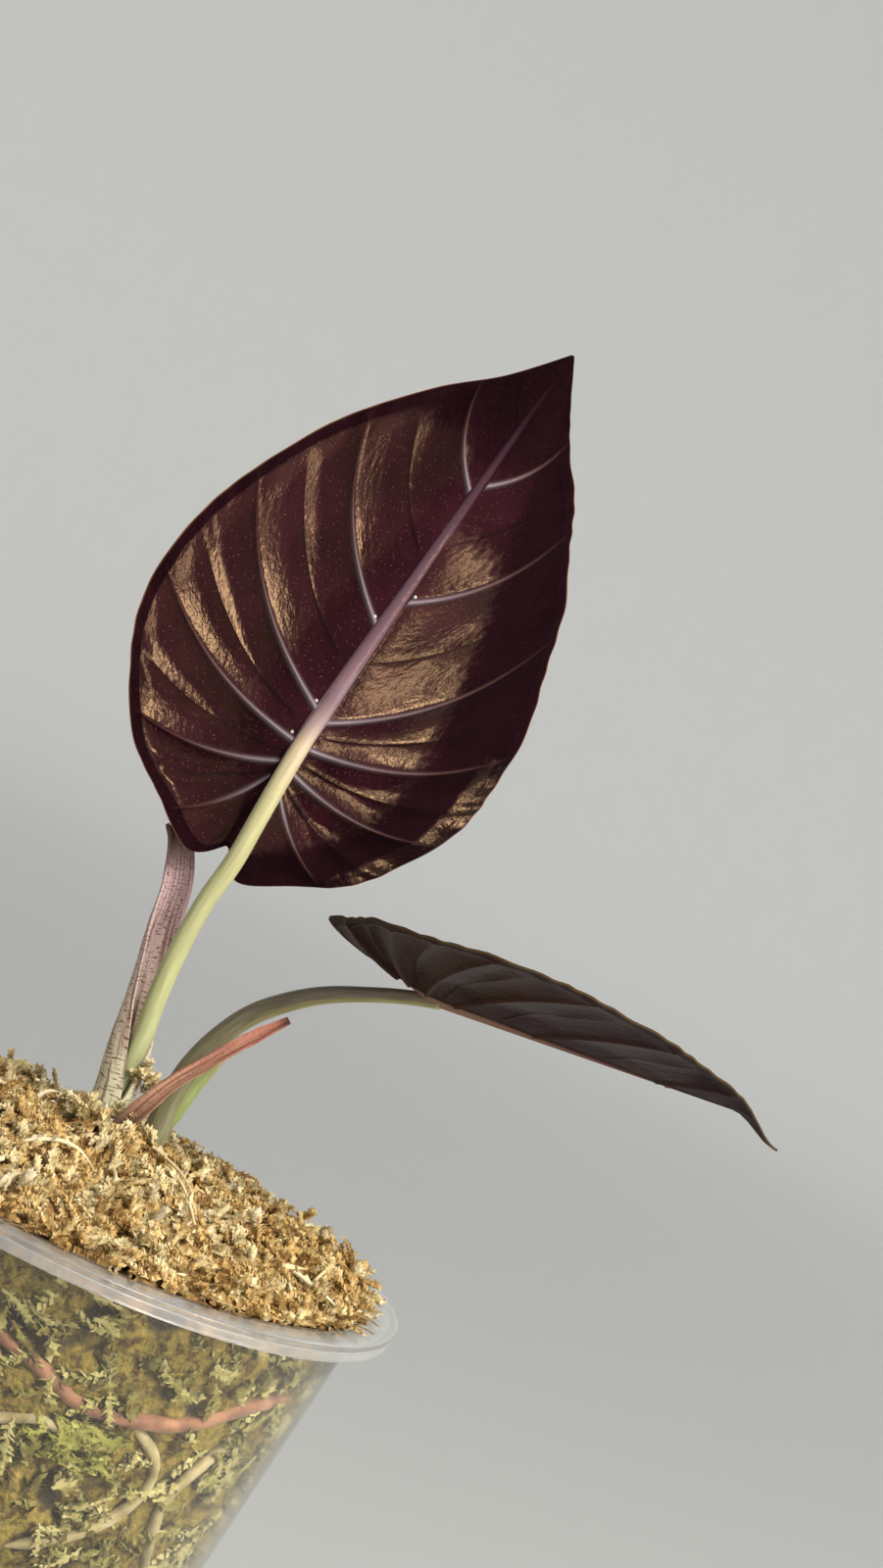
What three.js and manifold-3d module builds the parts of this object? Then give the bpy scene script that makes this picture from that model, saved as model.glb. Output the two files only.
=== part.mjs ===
// A young Alocasia infernalis with two leaves, rooted in long-fibre sphagnum moss in a clear plastic cup.
// Millimetres, +Z up, the origin in the middle of the cup's flat base.
import * as THREE from 'three';
import { mergeVertices } from 'three/addons/utils/BufferGeometryUtils.js';
import Module from 'manifold-3d';

const wasm = await Module();
wasm.setup();

// Cup: a moulded beaker with a flat flange whose lip turns down
const rimRadius = 47.5;
const cupHeight = 82;
const wallTaper = Math.tan(THREE.MathUtils.degToRad(7));
const wallThickness = 0.8;
const flangeOverhang = 4.4;
const flangeThickness = 1;
const lipDrop = 2.3;
const lipThickness = 1;
const edgeBreak = 0.4;
const floorThickness = 1.2;
const baseCorner = 1.2;
const baseGrooveInner = 23;
const baseGrooveOuter = 27;
const baseGrooveDepth = 0.6;
const cupSegments = 48;

// Clearance between pieces that touch, and how close two corners are to count as one
const gap = 0.3;
const cornerTolerance = 1e-3;

// Moss: a filled body with a low mound, two heaps (x, y, height, spread), rolling lumps and loose strands
const mossCrown = 6;
const mossHeaps = [[1, -1, 3.2, 9], [33, 3, 3.4, 10]];
const mossShoulder = 1.2;
const moundRings = 9;
const moundRingSpread = 0.8;
const mossSegments = 36;
const lumpHeight = 0.45;
const lumpWaves = 6;
const lumpLength = [9, 20];
const strandCount = 190;
const strandLength = [4, 8];
const strandRadius = [0.7, 1.2];
const strandClimbDeg = [2, 38];
const strandSink = 2.2;
const strandDepth = 0.7;
const strandReach = 40;
const strandSides = 3;
const plantClearance = 7;
const wallClearance = 1;
const rimClearance = 2;
const mossSeed = 11;

// Rhizome: the short underground stem
const rhizomeTop = 85.5;
const rhizomeLength = 16;
const rhizomeRadius = 6.5;
const rhizomeCentre = new THREE.Vector2(0.5, 1);

// Leaf outline in polar form about the petiole's attachment: degrees from the side, millimetres
const outlineAngles = [-90, -80, -60, -40, -20, 0, 20, 40, 60, 75, 84, 90];
const outlineRadii = [20.3, 24.3, 23.2, 24.3, 25.8, 28.5, 31.7, 35.8, 43, 50.8, 56.8, 64.4];
// Main veins from the notch to the tip: start along the midrib, end as a place along the outline
const veinStarts = {
  left: [-20.3, -9, -6.5, -3.1, 2.4, 17, 40, 64.4],
  right: [-20.3, -10, -7, -3, 1.5, 22, 42, 64.4],
};
const veinEnds = {
  left: [0, 1.8, 3.6, 5.75, 7.25, 8.4, 9.67, 11],
  right: [0, 2.55, 4.7, 6.3, 7.65, 8.67, 9.78, 11],
};
const veinSag = 0.18;
const veinHeight = 0.55;
const veinWidthShare = 0.12;
const midribHeight = 0.9;
const midribHalfWidth = 1.2;
const midribStart = -9;
const quiltDepth = 1;
const quiltSpan = 9;
const keelRadius = 3;
const curlLength = 14;
const marginWave = 0.7;
const bladeThickness = 0.85;
const rowsBetweenVeins = [0, 0.12, 0.3, 0.5, 0.7, 0.88];
const columnsToMargin = [0, 0.12, 0.28, 0.46, 0.64, 0.8, 0.92, 1];

// The two leaves: where the stalk meets the blade, which way the midrib and the underside face, and the fold
const mainLeaf = {
  attachment: new THREE.Vector3(-0.6, 3.5, 151.3),
  midrib: new THREE.Vector3(0.13, 0.105, 0.986),
  underside: new THREE.Vector3(0.3, -0.95, 0.06),
  scale: 1,
  foldDeg: 15,
  arch: 0.0007,
  tipCurl: 1,
  lobeLift: 0.022,
};
const secondLeaf = {
  attachment: new THREE.Vector3(32.8, -2, 125.6),
  midrib: new THREE.Vector3(0.99, -0.05, 0.113),
  underside: new THREE.Vector3(0.03, -0.1, -0.99),
  scale: 0.78,
  foldDeg: 19.5,
  arch: 0,
  tipCurl: 2.6,
  lobeLift: 0.05,
};

// Stalks, sheath and bract: points along the middle, widths and depths of the section
const petioleMain = {
  points: [[-2.2, 1.6, 85.9], [-2.2, 1.6, 94], [-2.4, 1.4, 101.1], [-3.2, 1.1, 108.4], [-3.4, 0.7, 115.6],
    [-3, 0.3, 122.8], [-1.9, 0, 129.8], [-1.5, 0.3, 136.8], [-1.1, 1.2, 144], [-0.7, 2.7, 150.9]],
  widths: [3, 2.9, 2.9, 2.9, 2.8, 2.8, 2.7, 2.6, 2.5, 2.3],
};
const oldSheath = {
  points: [[-2.9, 3, 85.9], [-2.9, 3.2, 92.6], [-4.4, 3.6, 100], [-5.6, 4.4, 108.8], [-7, 5.6, 116],
    [-8.3, 7, 123.2], [-10.6, 8.4, 128.2], [-12.4, 9.4, 130.2]],
  widths: [6.4, 6.2, 5.9, 5.4, 4.9, 4.4, 3, 1.6],
  depths: [6.4, 6.2, 5.8, 5, 4.2, 3.2, 2.2, 1.2],
  flatSide: new THREE.Vector3(1, 0, 0),
};
const sheathGroove = {
  points: [[-1.9, 1.2, 91], [-1.9, 1.1, 97], [-2.9, 1.4, 104], [-4.6, 2.6, 112], [-6.4, 4.2, 119],
    [-8.6, 6, 125.4], [-11.5, 8, 131]],
  widths: [3.8, 4, 4, 3.6, 3, 2.4, 1.4],
};
const petioleSecond = {
  points: [[4.6, 2.6, 85.9], [5, 2.8, 91], [4.8, 3, 95.6], [5.4, 3, 101.4], [7.2, 3, 106.8],
    [9.7, 2.8, 111.2], [13, 2, 114.8], [17.5, 1, 118.4], [23.5, 0, 121.6], [28.6, -1, 123.8],
    [32.2, -1.8, 124.8]],
  widths: [4, 3.8, 3.6, 3.3, 3.1, 3, 2.8, 2.5, 2.2, 2.1, 2],
};
const petioleWing = {
  points: [[5.6, 1.6, 88], [6.2, 1.6, 94], [6.6, 1.8, 99], [7.6, 2.2, 104], [9.4, 2.6, 109]],
  widths: [3.4, 4, 3.8, 3, 1.6],
  depths: [1, 0.9, 0.9, 0.9, 0.9],
  flatSide: new THREE.Vector3(1, 0, -0.5),
};
const cataphyll = {
  points: [[0.6, -2.6, 85.9], [0.7, -3.2, 90], [2.6, -4, 95.4], [4.6, -4.3, 99.6], [7, -4.4, 103.2],
    [9.6, -4.4, 107], [12.2, -4.4, 110.4], [14.9, -4.4, 113.9]],
  widths: [3, 3.8, 4, 3.7, 3, 2.4, 1.9, 1.2],
  depths: [2, 1.6, 1.4, 1.3, 1.2, 1.1, 1, 0.9],
  flatSide: new THREE.Vector3(1, 0, -0.5),
};
const stalkSides = 9;
const stepsPerPoint = 2;

// Colours as seen, with a soft or a glossy surface
const finish = {
  clearPlastic: { color: '#e8ecec', roughness: 0.2, transparent: true, opacity: 0.35 },
  moss: { color: '#c3a064', roughness: 0.95 },
  rhizome: { color: '#8a6a48', roughness: 0.8 },
  pinkRoot: { color: '#a4625a', roughness: 0.6 },
  creamRoot: { color: '#d8c79a', roughness: 0.6 },
  drySheath: { color: '#bda08f', roughness: 0.75 },
  greenStalk: { color: '#cdd08a', roughness: 0.5 },
  oliveStalk: { color: '#6f6a52', roughness: 0.5 },
  darkLeaf: { color: '#2c1218', roughness: 0.4, metalness: 0.1 },
  driedBract: { color: '#b5654c', roughness: 0.8 },
};

// The value at share t along an evenly spaced list
function along(values, t) {
  const place = Math.min(t, 1) * (values.length - 1);
  const first = Math.min(Math.floor(place), values.length - 2);
  return THREE.MathUtils.lerp(values[first], values[first + 1], place - first);
}

// A repeatable source of numbers between 0 and 1
function seeded(seed) {
  let state = seed;
  return () => {
    state = (state * 1664525 + 1013904223) % 4294967296;
    return state / 4294967296;
  };
}

function solidOf(geometry) {
  const bare = geometry.clone();
  bare.deleteAttribute('normal');
  bare.deleteAttribute('uv');
  const merged = mergeVertices(bare, cornerTolerance);
  return new wasm.Manifold(new wasm.Mesh({
    numProp: 3,
    vertProperties: merged.getAttribute('position').array,
    triVerts: Uint32Array.from(merged.index.array),
  }));
}

function geometryOf(solid) {
  const mesh = solid.getMesh();
  const geometry = new THREE.BufferGeometry();
  geometry.setAttribute('position', new THREE.BufferAttribute(mesh.vertProperties, 3));
  geometry.setIndex(new THREE.BufferAttribute(mesh.triVerts, 1));
  geometry.computeVertexNormals();
  return geometry;
}

function turned(profile, segments) {
  const geometry = new THREE.LatheGeometry(profile.map(([r, z]) => new THREE.Vector2(r, z)), segments);
  return geometry.rotateX(Math.PI / 2);
}

// A round bar extruded straight, then bent along its path and swelled to its widths and depths
function stalk({ points, widths, depths = widths, flatSide }, extra = 0, sides = stalkSides) {
  const path = new THREE.CatmullRomCurve3(points.map((point) => new THREE.Vector3(...point)));
  const corners = Array.from({ length: sides }, (_, i) => {
    const angle = (2 * Math.PI * i) / sides;
    return new THREE.Vector2(Math.cos(angle) / 2, Math.sin(angle) / 2);
  });
  const steps = (points.length - 1) * stepsPerPoint;
  const frames = path.computeFrenetFrames(steps, false);
  const bar = new THREE.ExtrudeGeometry(new THREE.Shape(corners), { depth: 1, steps, bevelEnabled: false });
  const position = bar.getAttribute('position');
  for (let i = 0; i < position.count; i++) {
    const t = position.getZ(i);
    const step = Math.round(t * steps);
    const tangent = frames.tangents[step];
    const across = flatSide ? flatSide.clone() : frames.normals[step].clone();
    across.addScaledVector(tangent, -across.dot(tangent)).normalize();
    const through = tangent.clone().cross(across);
    const place = path.getPointAt(t);
    place.addScaledVector(across, position.getX(i) * (along(widths, t) + 2 * extra));
    place.addScaledVector(through, position.getY(i) * (along(depths, t) + 2 * extra));
    position.setXYZ(i, place.x, place.y, place.z);
  }
  bar.computeVertexNormals();
  return bar;
}

// Cup
const wallTop = rimRadius - flangeOverhang;
const outerRadiusAt = (z) => wallTop - (cupHeight - z) * wallTaper;
const innerRadiusAt = (z) => outerRadiusAt(z) - wallThickness;
const baseRadius = outerRadiusAt(0);
const insideFloor = floorThickness + baseCorner;

const cupGeometry = turned([
  [0, 0],
  [baseGrooveInner, 0],
  [baseGrooveInner + baseGrooveDepth, baseGrooveDepth],
  [baseGrooveOuter - baseGrooveDepth, baseGrooveDepth],
  [baseGrooveOuter, 0],
  [baseRadius - baseCorner, 0],
  [outerRadiusAt(baseCorner), baseCorner],
  [outerRadiusAt(cupHeight / 2), cupHeight / 2],
  [outerRadiusAt(cupHeight - flangeThickness), cupHeight - flangeThickness],
  [rimRadius - lipThickness, cupHeight - flangeThickness],
  [rimRadius - lipThickness, cupHeight - lipDrop],
  [rimRadius, cupHeight - lipDrop],
  [rimRadius, cupHeight - edgeBreak],
  [rimRadius - edgeBreak, cupHeight],
  [innerRadiusAt(cupHeight) + edgeBreak, cupHeight],
  [innerRadiusAt(cupHeight - edgeBreak), cupHeight - edgeBreak],
  [innerRadiusAt(cupHeight / 2), cupHeight / 2],
  [innerRadiusAt(insideFloor), insideFloor],
  [innerRadiusAt(insideFloor) - baseCorner, floorThickness],
  [0, floorThickness],
], cupSegments);

// Rhizome
const rhizomeProfile = [[0, 0], [0.45, 0.04], [0.75, 0.25], [0.9, 0.55], [1, 0.85], [0.92, 1], [0, 1]];

function rhizomeGeometry(extra) {
  const radius = rhizomeRadius + extra;
  const length = rhizomeLength + 2 * extra;
  const geometry = turned(rhizomeProfile.map(([r, z]) => [r * radius, z * length]), stalkSides);
  return geometry.translate(rhizomeCentre.x, rhizomeCentre.y, rhizomeTop - rhizomeLength - extra);
}

// Roots: a point is given by its angle round the cup, its height and how far it keeps inside the wall
const pinkRadius = 1;
const creamRadius = 0.75;
const rootSides = 6;
const rootWallClearance = 0.75;

function nearWall([angleDeg, z, inset = 0], radius) {
  const angle = THREE.MathUtils.degToRad(angleDeg);
  const distance = innerRadiusAt(z) - rootWallClearance - radius - inset;
  return [distance * Math.cos(angle), distance * Math.sin(angle), z];
}

// Each root springs from the middle of the rhizome at its own height
function root(startHeight, radius, wallPoints) {
  const start = [rhizomeCentre.x, rhizomeCentre.y, startHeight];
  const points = [start, ...wallPoints.map((point) => nearWall(point, radius))];
  return { points, widths: [radius * 2, radius * 2] };
}

const roots = {
  root_pink: root(78, pinkRadius, [
    [-101, 75, 24], [-101, 72.5, 9], [-97, 69.5, 1.2], [-88, 68], [-80, 66.5],
    [-70, 64], [-58, 64.2], [-47, 65.4], [-35, 69], [-20, 70],
  ]),
  root_cream_a: root(74, creamRadius, [
    [-124, 71.5, 24], [-124, 67, 9], [-116, 61.5, 1.2], [-106, 58.6], [-96, 57.5],
    [-84, 58.2], [-75, 60.4], [-64, 58.6],
  ]),
  root_cream_b: root(74.5, creamRadius, [
    [-64, 72.5, 24], [-64, 69, 9], [-58, 63.5, 1.6], [-51, 60], [-48.5, 56],
    [-51, 51.5], [-58, 47], [-70, 43],
  ]),
  root_cream_c: root(73, creamRadius, [
    [-24, 71, 24], [-24, 66, 9], [-30, 63.5, 1.6], [-38, 60], [-42, 54.5], [-38, 46], [-28, 38],
  ]),
};

// Blade: a grid whose rows follow the main veins from the midrib to the margin
const outline = new THREE.SplineCurve(outlineAngles.map((degrees, i) => {
  const angle = THREE.MathUtils.degToRad(degrees);
  return new THREE.Vector2(Math.cos(angle), Math.sin(angle)).multiplyScalar(outlineRadii[i]);
}));
const lastVein = veinEnds.left.length - 1;
const tipReach = outlineRadii[outlineRadii.length - 1];

function bladePoint(side, vein, share) {
  const name = side < 0 ? 'left' : 'right';
  const start = along(veinStarts[name], vein / lastVein);
  const narrowing = Math.sqrt(Math.max(0, 1 - Math.abs(start) / tipReach));
  const foot = new THREE.Vector2(midribHalfWidth * narrowing, start);
  const end = outline.getPoint(along(veinEnds[name], vein / lastVein) / (outlineAngles.length - 1));
  const chord = end.clone().sub(foot);
  const bend = foot.clone().add(end).multiplyScalar(0.5);
  bend.add(new THREE.Vector2(chord.y, -chord.x).multiplyScalar(veinSag));
  const line = new THREE.QuadraticBezierCurve(foot, bend, end);
  const point = line.getPoint(share);
  return { x: side * point.x, y: point.y };
}

// How far the blade stands towards its underside: folded, arched, quilted and waved
function bladeRise(leaf, x, y, vein, share) {
  const fold = Math.tan(THREE.MathUtils.degToRad(leaf.foldDeg));
  const folded = -fold * (Math.hypot(x, keelRadius) - keelRadius);
  const arched = y > 0 ? leaf.arch * y ** 2 : -leaf.lobeLift * Math.abs(y) ** 1.5;
  const curled = leaf.tipCurl * THREE.MathUtils.smoothstep(y, tipReach - curlLength, tipReach);
  const between = Math.sin(Math.PI * (vein % 1)) * Math.min(1, Math.abs(x) / quiltSpan);
  const quilted = -quiltDepth * between * Math.sin(Math.PI * Math.sqrt(share));
  const waved = marginWave * Math.sin(2 * Math.PI * vein) * share ** 3;
  return folded + arched + curled + quilted + waved;
}

function veinRidge(vein, share) {
  const nearest = Math.round(vein);
  if (nearest === 0 || nearest === lastVein) return 0;
  const away = Math.abs(vein - nearest) / veinWidthShare;
  return veinHeight * Math.max(0, 1 - away) * (1 - 0.8 * share);
}

function midribRidge(y) {
  const fade = y < 0 ? THREE.MathUtils.smoothstep(y, midribStart, 0) : 1 - y / tipReach;
  return midribHeight * fade;
}

function bladeGeometry(leaf, thickness) {
  const rows = [];
  for (let vein = 0; vein < lastVein; vein++) {
    rows.push(...rowsBetweenVeins.map((part) => vein + part));
  }
  rows.shift();
  const columns = [...columnsToMargin.map((share) => [-1, share]).reverse(), [0, 0]];
  columns.push(...columnsToMargin.map((share) => [1, share]));

  const places = [];
  const place = (vein, side, share) => {
    const sides = side === 0 ? [-1, 1] : [side];
    const found = sides.map((one) => bladePoint(one, vein, share));
    const x = side === 0 ? 0 : found[0].x;
    const y = found.reduce((sum, point) => sum + point.y, 0) / found.length;
    const ridge = side === 0 ? midribRidge(y) : veinRidge(vein, share);
    const rise = bladeRise(leaf, x, y, vein, share) * leaf.scale;
    places.push({ x: x * leaf.scale, y: y * leaf.scale, rise, ridge });
  };
  place(0, 0, 0);
  rows.forEach((vein) => columns.forEach(([side, share]) => place(vein, side, share)));
  place(lastVein, 0, 0);

  const faceSize = places.length;
  const under = places.flatMap(({ x, y, rise, ridge }) => [x, y, rise + thickness / 2 + ridge]);
  const upper = places.flatMap(({ x, y, rise, ridge }) => [x, y, rise - thickness / 2 + ridge / 3]);
  const index = [];
  const add = (a, b, c) => index.push(a, b, c, a + faceSize, c + faceSize, b + faceSize);
  const wide = columns.length;
  const at = (row, column) => 1 + row * wide + column;
  for (let column = 0; column < wide - 1; column++) {
    add(0, at(0, column + 1), at(0, column));
    for (let row = 0; row < rows.length - 1; row++) {
      add(at(row, column), at(row, column + 1), at(row + 1, column + 1));
      add(at(row, column), at(row + 1, column + 1), at(row + 1, column));
    }
    add(at(rows.length - 1, column), at(rows.length - 1, column + 1), faceSize - 1);
  }
  const rim = [0];
  rows.forEach((_, row) => rim.push(at(row, wide - 1)));
  rim.push(faceSize - 1);
  rows.forEach((_, row) => rim.push(at(rows.length - 1 - row, 0)));
  rim.forEach((a, i) => {
    const b = rim[(i + 1) % rim.length];
    index.push(a, a + faceSize, b, b, a + faceSize, b + faceSize);
  });

  const geometry = new THREE.BufferGeometry();
  geometry.setAttribute('position', new THREE.Float32BufferAttribute([...under, ...upper], 3));
  geometry.setIndex(index);
  geometry.computeVertexNormals();
  return geometry;
}

function bladeMatrix(leaf) {
  const lengthwise = leaf.midrib.clone().normalize();
  const lean = leaf.underside.dot(lengthwise);
  const outward = leaf.underside.clone().addScaledVector(lengthwise, -lean).normalize();
  const across = lengthwise.clone().cross(outward);
  return new THREE.Matrix4().makeBasis(across, lengthwise, outward).setPosition(leaf.attachment);
}

// The stalk ends a gap away from the blade that it carries
function cutClearOfBlade(stalkGeometry, leaf) {
  const blade = bladeGeometry(leaf, bladeThickness + 2 * gap).applyMatrix4(bladeMatrix(leaf));
  return solidOf(stalkGeometry).subtract(solidOf(blade));
}

// Moss
const mossRadiusAt = (z) => innerRadiusAt(z) - gap;
const mossBottom = floorThickness + gap;
const mossEdge = cupHeight - mossShoulder;
const mossRadius = mossRadiusAt(mossEdge);
const waveSource = seeded(mossSeed);
const lumps = Array.from({ length: lumpWaves }, () => {
  const heading = waveSource() * Math.PI;
  const length = THREE.MathUtils.lerp(...lumpLength, waveSource());
  return { x: Math.cos(heading) / length, y: Math.sin(heading) / length, phase: waveSource() * 2 * Math.PI };
});

function mossTopAt(x, y) {
  const share = Math.hypot(x, y) / mossRadius;
  const lump = lumps.reduce((sum, wave) => {
    return sum + Math.sin(2 * Math.PI * (x * wave.x + y * wave.y) + wave.phase);
  }, 0);
  const heaped = mossHeaps.reduce((sum, [atX, atY, height, spread]) => {
    return sum + height * Math.exp(-(((x - atX) / spread) ** 2) - ((y - atY) / spread) ** 2);
  }, 0);
  return cupHeight + mossCrown * (1 - share ** 2) + (heaped + lumpHeight * lump) * (1 - share ** 6);
}

function mossBody() {
  const profile = [
    [0, mossBottom],
    [mossRadiusAt(insideFloor) - baseCorner, mossBottom],
    [mossRadiusAt(insideFloor), insideFloor + gap],
    [mossRadiusAt(cupHeight / 2), cupHeight / 2],
    [mossRadius, mossEdge],
  ];
  for (let ring = moundRings - 1; ring >= 0; ring--) {
    profile.push([mossRadius * (ring / moundRings) ** moundRingSpread, cupHeight]);
  }
  const body = turned(profile, mossSegments);
  const position = body.getAttribute('position');
  for (let i = 0; i < position.count; i++) {
    const x = position.getX(i);
    const y = position.getY(i);
    if (position.getZ(i) > cupHeight - edgeBreak) position.setZ(i, mossTopAt(x, y));
  }
  return body;
}

function mossStrand(random) {
  const length = THREE.MathUtils.lerp(...strandLength, random());
  const distance = strandReach * Math.sqrt(random());
  const bearing = random() * 2 * Math.PI;
  const foot = new THREE.Vector3(distance * Math.cos(bearing), distance * Math.sin(bearing), 0);
  foot.z = mossTopAt(foot.x, foot.y) - strandDepth;
  const heading = random() * 2 * Math.PI;
  const climb = THREE.MathUtils.degToRad(THREE.MathUtils.lerp(...strandClimbDeg, random()));
  const level = Math.cos(climb);
  const direction = new THREE.Vector3(level * Math.cos(heading), level * Math.sin(heading), Math.sin(climb));
  const tip = foot.clone().addScaledVector(direction, length);
  const radius = THREE.MathUtils.lerp(...strandRadius, random());
  const nearPlant = Math.min(Math.hypot(foot.x, foot.y), Math.hypot(tip.x, tip.y)) < plantClearance;
  const overWall = Math.hypot(tip.x, tip.y) > mossRadius - wallClearance;
  const pastRim = overWall && tip.z < cupHeight + rimClearance;
  if (nearPlant || pastRim) return null;
  const strand = new THREE.ConeGeometry(radius, length + strandSink, strandSides);
  strand.translate(0, (length + strandSink) / 2 - strandSink, 0);
  strand.applyQuaternion(new THREE.Quaternion().setFromUnitVectors(new THREE.Vector3(0, 1, 0), direction));
  return strand.translate(foot.x, foot.y, foot.z);
}

function mossGeometry() {
  const random = seeded(mossSeed + 1);
  let moss = solidOf(mossBody());
  for (let i = 0; i < strandCount; i++) {
    const strand = mossStrand(random);
    if (strand) moss = moss.add(solidOf(strand));
  }
  const stems = [oldSheath, petioleMain, petioleSecond, petioleWing, cataphyll];
  const sunk = [rhizomeGeometry(gap), ...stems.map((path) => stalk(path, gap))];
  sunk.push(...Object.values(roots).map((path) => stalk(path, gap, rootSides)));
  return geometryOf(sunk.reduce((rest, hole) => rest.subtract(solidOf(hole)), moss));
}

// Assembly
const plant = new THREE.Group();

function addPiece(group, name, geometry, look) {
  const mesh = new THREE.Mesh(geometry, new THREE.MeshStandardMaterial(look));
  mesh.name = name;
  group.add(mesh);
  return mesh;
}

addPiece(plant, 'cup', cupGeometry, finish.clearPlastic);
addPiece(plant, 'moss', mossGeometry(), finish.moss);
addPiece(plant, 'rhizome', rhizomeGeometry(0), finish.rhizome);
Object.entries(roots).forEach(([name, path]) => {
  const clear = solidOf(stalk(path, 0, rootSides)).subtract(solidOf(rhizomeGeometry(gap)));
  addPiece(plant, name, geometryOf(clear), name === 'root_pink' ? finish.pinkRoot : finish.creamRoot);
});

const grooved = solidOf(stalk(oldSheath)).subtract(solidOf(stalk(sheathGroove)));
const sheathSolid = grooved.subtract(solidOf(stalk(petioleMain, gap)));
addPiece(plant, 'old_sheath', geometryOf(sheathSolid), finish.drySheath);
addPiece(plant, 'petiole_main', geometryOf(cutClearOfBlade(stalk(petioleMain), mainLeaf)), finish.greenStalk);
const wingedStalk = geometryOf(solidOf(stalk(petioleSecond)).add(solidOf(stalk(petioleWing))));
addPiece(plant, 'petiole_second', geometryOf(cutClearOfBlade(wingedStalk, secondLeaf)), finish.oliveStalk);
addPiece(plant, 'cataphyll', stalk(cataphyll), finish.driedBract);

Object.entries({ blade_main: mainLeaf, blade_second: secondLeaf }).forEach(([name, leaf]) => {
  const blade = addPiece(plant, name, bladeGeometry(leaf, bladeThickness), finish.darkLeaf);
  blade.applyMatrix4(bladeMatrix(leaf));
});

export default plant;
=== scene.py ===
import math

import bmesh
import bpy
import numpy as np
from mathutils import Matrix, Vector, noise


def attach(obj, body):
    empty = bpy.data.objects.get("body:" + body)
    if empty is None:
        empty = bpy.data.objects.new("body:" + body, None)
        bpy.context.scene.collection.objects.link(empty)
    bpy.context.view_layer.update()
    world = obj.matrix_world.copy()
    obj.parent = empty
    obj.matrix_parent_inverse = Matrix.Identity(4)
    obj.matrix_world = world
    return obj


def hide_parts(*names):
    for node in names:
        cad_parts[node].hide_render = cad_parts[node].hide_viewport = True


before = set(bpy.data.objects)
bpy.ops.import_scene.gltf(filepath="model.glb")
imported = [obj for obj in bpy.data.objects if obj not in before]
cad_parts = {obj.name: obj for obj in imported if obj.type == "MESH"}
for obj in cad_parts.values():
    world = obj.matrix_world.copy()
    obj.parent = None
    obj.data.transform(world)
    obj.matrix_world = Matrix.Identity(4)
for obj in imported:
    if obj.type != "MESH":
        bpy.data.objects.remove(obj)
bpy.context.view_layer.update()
mm = 0.001


# Camera: it stands a third of a metre in front of the plant, level with the stalk of the big leaf.
# It rolls by 26 degrees, because the pot was held leaning when the picture was taken.
camera_place = Vector((19.2, -327.3, 156.9)) * mm
camera_pitch = math.radians(-0.81)
camera_roll = math.radians(26.42)
camera_data = bpy.data.cameras.new("camera")
camera_data.lens = 54
camera_data.sensor_width = 36
camera = bpy.data.objects.new("camera", camera_data)
level_camera = Matrix.Rotation(math.pi / 2 + camera_pitch, 4, "X")
rolled_camera = level_camera @ Matrix.Rotation(camera_roll, 4, "Z")
camera.matrix_world = Matrix.Translation(camera_place) @ rolled_camera
bpy.context.scene.collection.objects.link(camera)
bpy.context.scene.camera = camera
bpy.context.scene.view_settings.view_transform = "Standard"


# Studio: a pale matt floor that curves up into a wall all round, so that a rolled camera sees no edge.
# Two tall windows stand on the right, a strong high one and a weaker low one, and the room is pale.
def linear(hex_colour):
    """An sRGB hex colour as linear red, green, blue and alpha"""
    shares = [int(hex_colour[place:place + 2], 16) / 255 for place in (1, 3, 5)]
    return [s / 12.92 if s <= 0.04045 else ((s + 0.055) / 1.055) ** 2.4 for s in shares] + [1]


def new_material(name):
    """An empty material: its tree holds only the output"""
    material = bpy.data.materials.new(name)
    material.use_nodes = True
    for node in list(material.node_tree.nodes):
        if node.type != "OUTPUT_MATERIAL":
            material.node_tree.nodes.remove(node)
    return material


def add_node(material, kind, settings=None, inputs=None, stops=None):
    """Adds a node: its own settings, then its inputs, then its ramp's stops. An input is a value, the output
    that feeds it, or a node, which feeds it with its first output in use"""
    tree = material.node_tree
    node = tree.nodes.new("ShaderNode" + kind)
    for key, value in (settings or {}).items():
        setattr(node, key, value)
    for key, value in (inputs or {}).items():
        if isinstance(value, bpy.types.Node):
            value = next(output for output in value.outputs if output.enabled)
        if isinstance(value, bpy.types.NodeSocket):
            tree.links.new(value, node.inputs[key])
        else:
            node.inputs[key].default_value = value
    if stops:
        ramp = node.color_ramp.elements
        for stop, (place, colour) in ((ramp[0], stops[0]), (ramp[-1], stops[-1])):
            stop.position = place
            stop.color = linear(colour)
        for place, colour in stops[1:-1]:
            ramp.new(place).color = linear(colour)
    return node


def finish_with(material, shader):
    """Joins a shader to the material's output, and gives the material back"""
    output = material.node_tree.nodes["Material Output"]
    material.node_tree.links.new(shader.outputs[0], output.inputs["Surface"])
    return material


def add_piece(name, points, faces, materials, numbers=None, smooth=True):
    """A mesh object from points and faces, with named numbers or vectors stored on its points"""
    mesh = bpy.data.meshes.new(name)
    mesh.from_pydata(np.asarray(points).reshape(-1, 3).tolist(), [], faces)
    for layer, values in (numbers or {}).items():
        values = np.asarray(values, np.float32)
        kind, field = ("FLOAT", "value") if values.ndim == 1 else ("FLOAT_VECTOR", "vector")
        mesh.attributes.new(layer, kind, "POINT").data.foreach_set(field, values.ravel())
    for material in materials:
        mesh.materials.append(material)
    mesh.polygons.foreach_set("use_smooth", [smooth] * len(mesh.polygons))
    mesh.update()
    piece = bpy.data.objects.new(name, mesh)
    bpy.context.scene.collection.objects.link(piece)
    return piece


def tube_faces(rows, sides):
    """Four-sided faces that join rows of points, each row a closed ring"""
    grid = np.arange(rows * sides).reshape(rows, sides)
    right = np.roll(grid, -1, 1)
    return np.stack([grid[:-1], right[:-1], right[1:], grid[1:]], 2).reshape(-1, 4)


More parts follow.
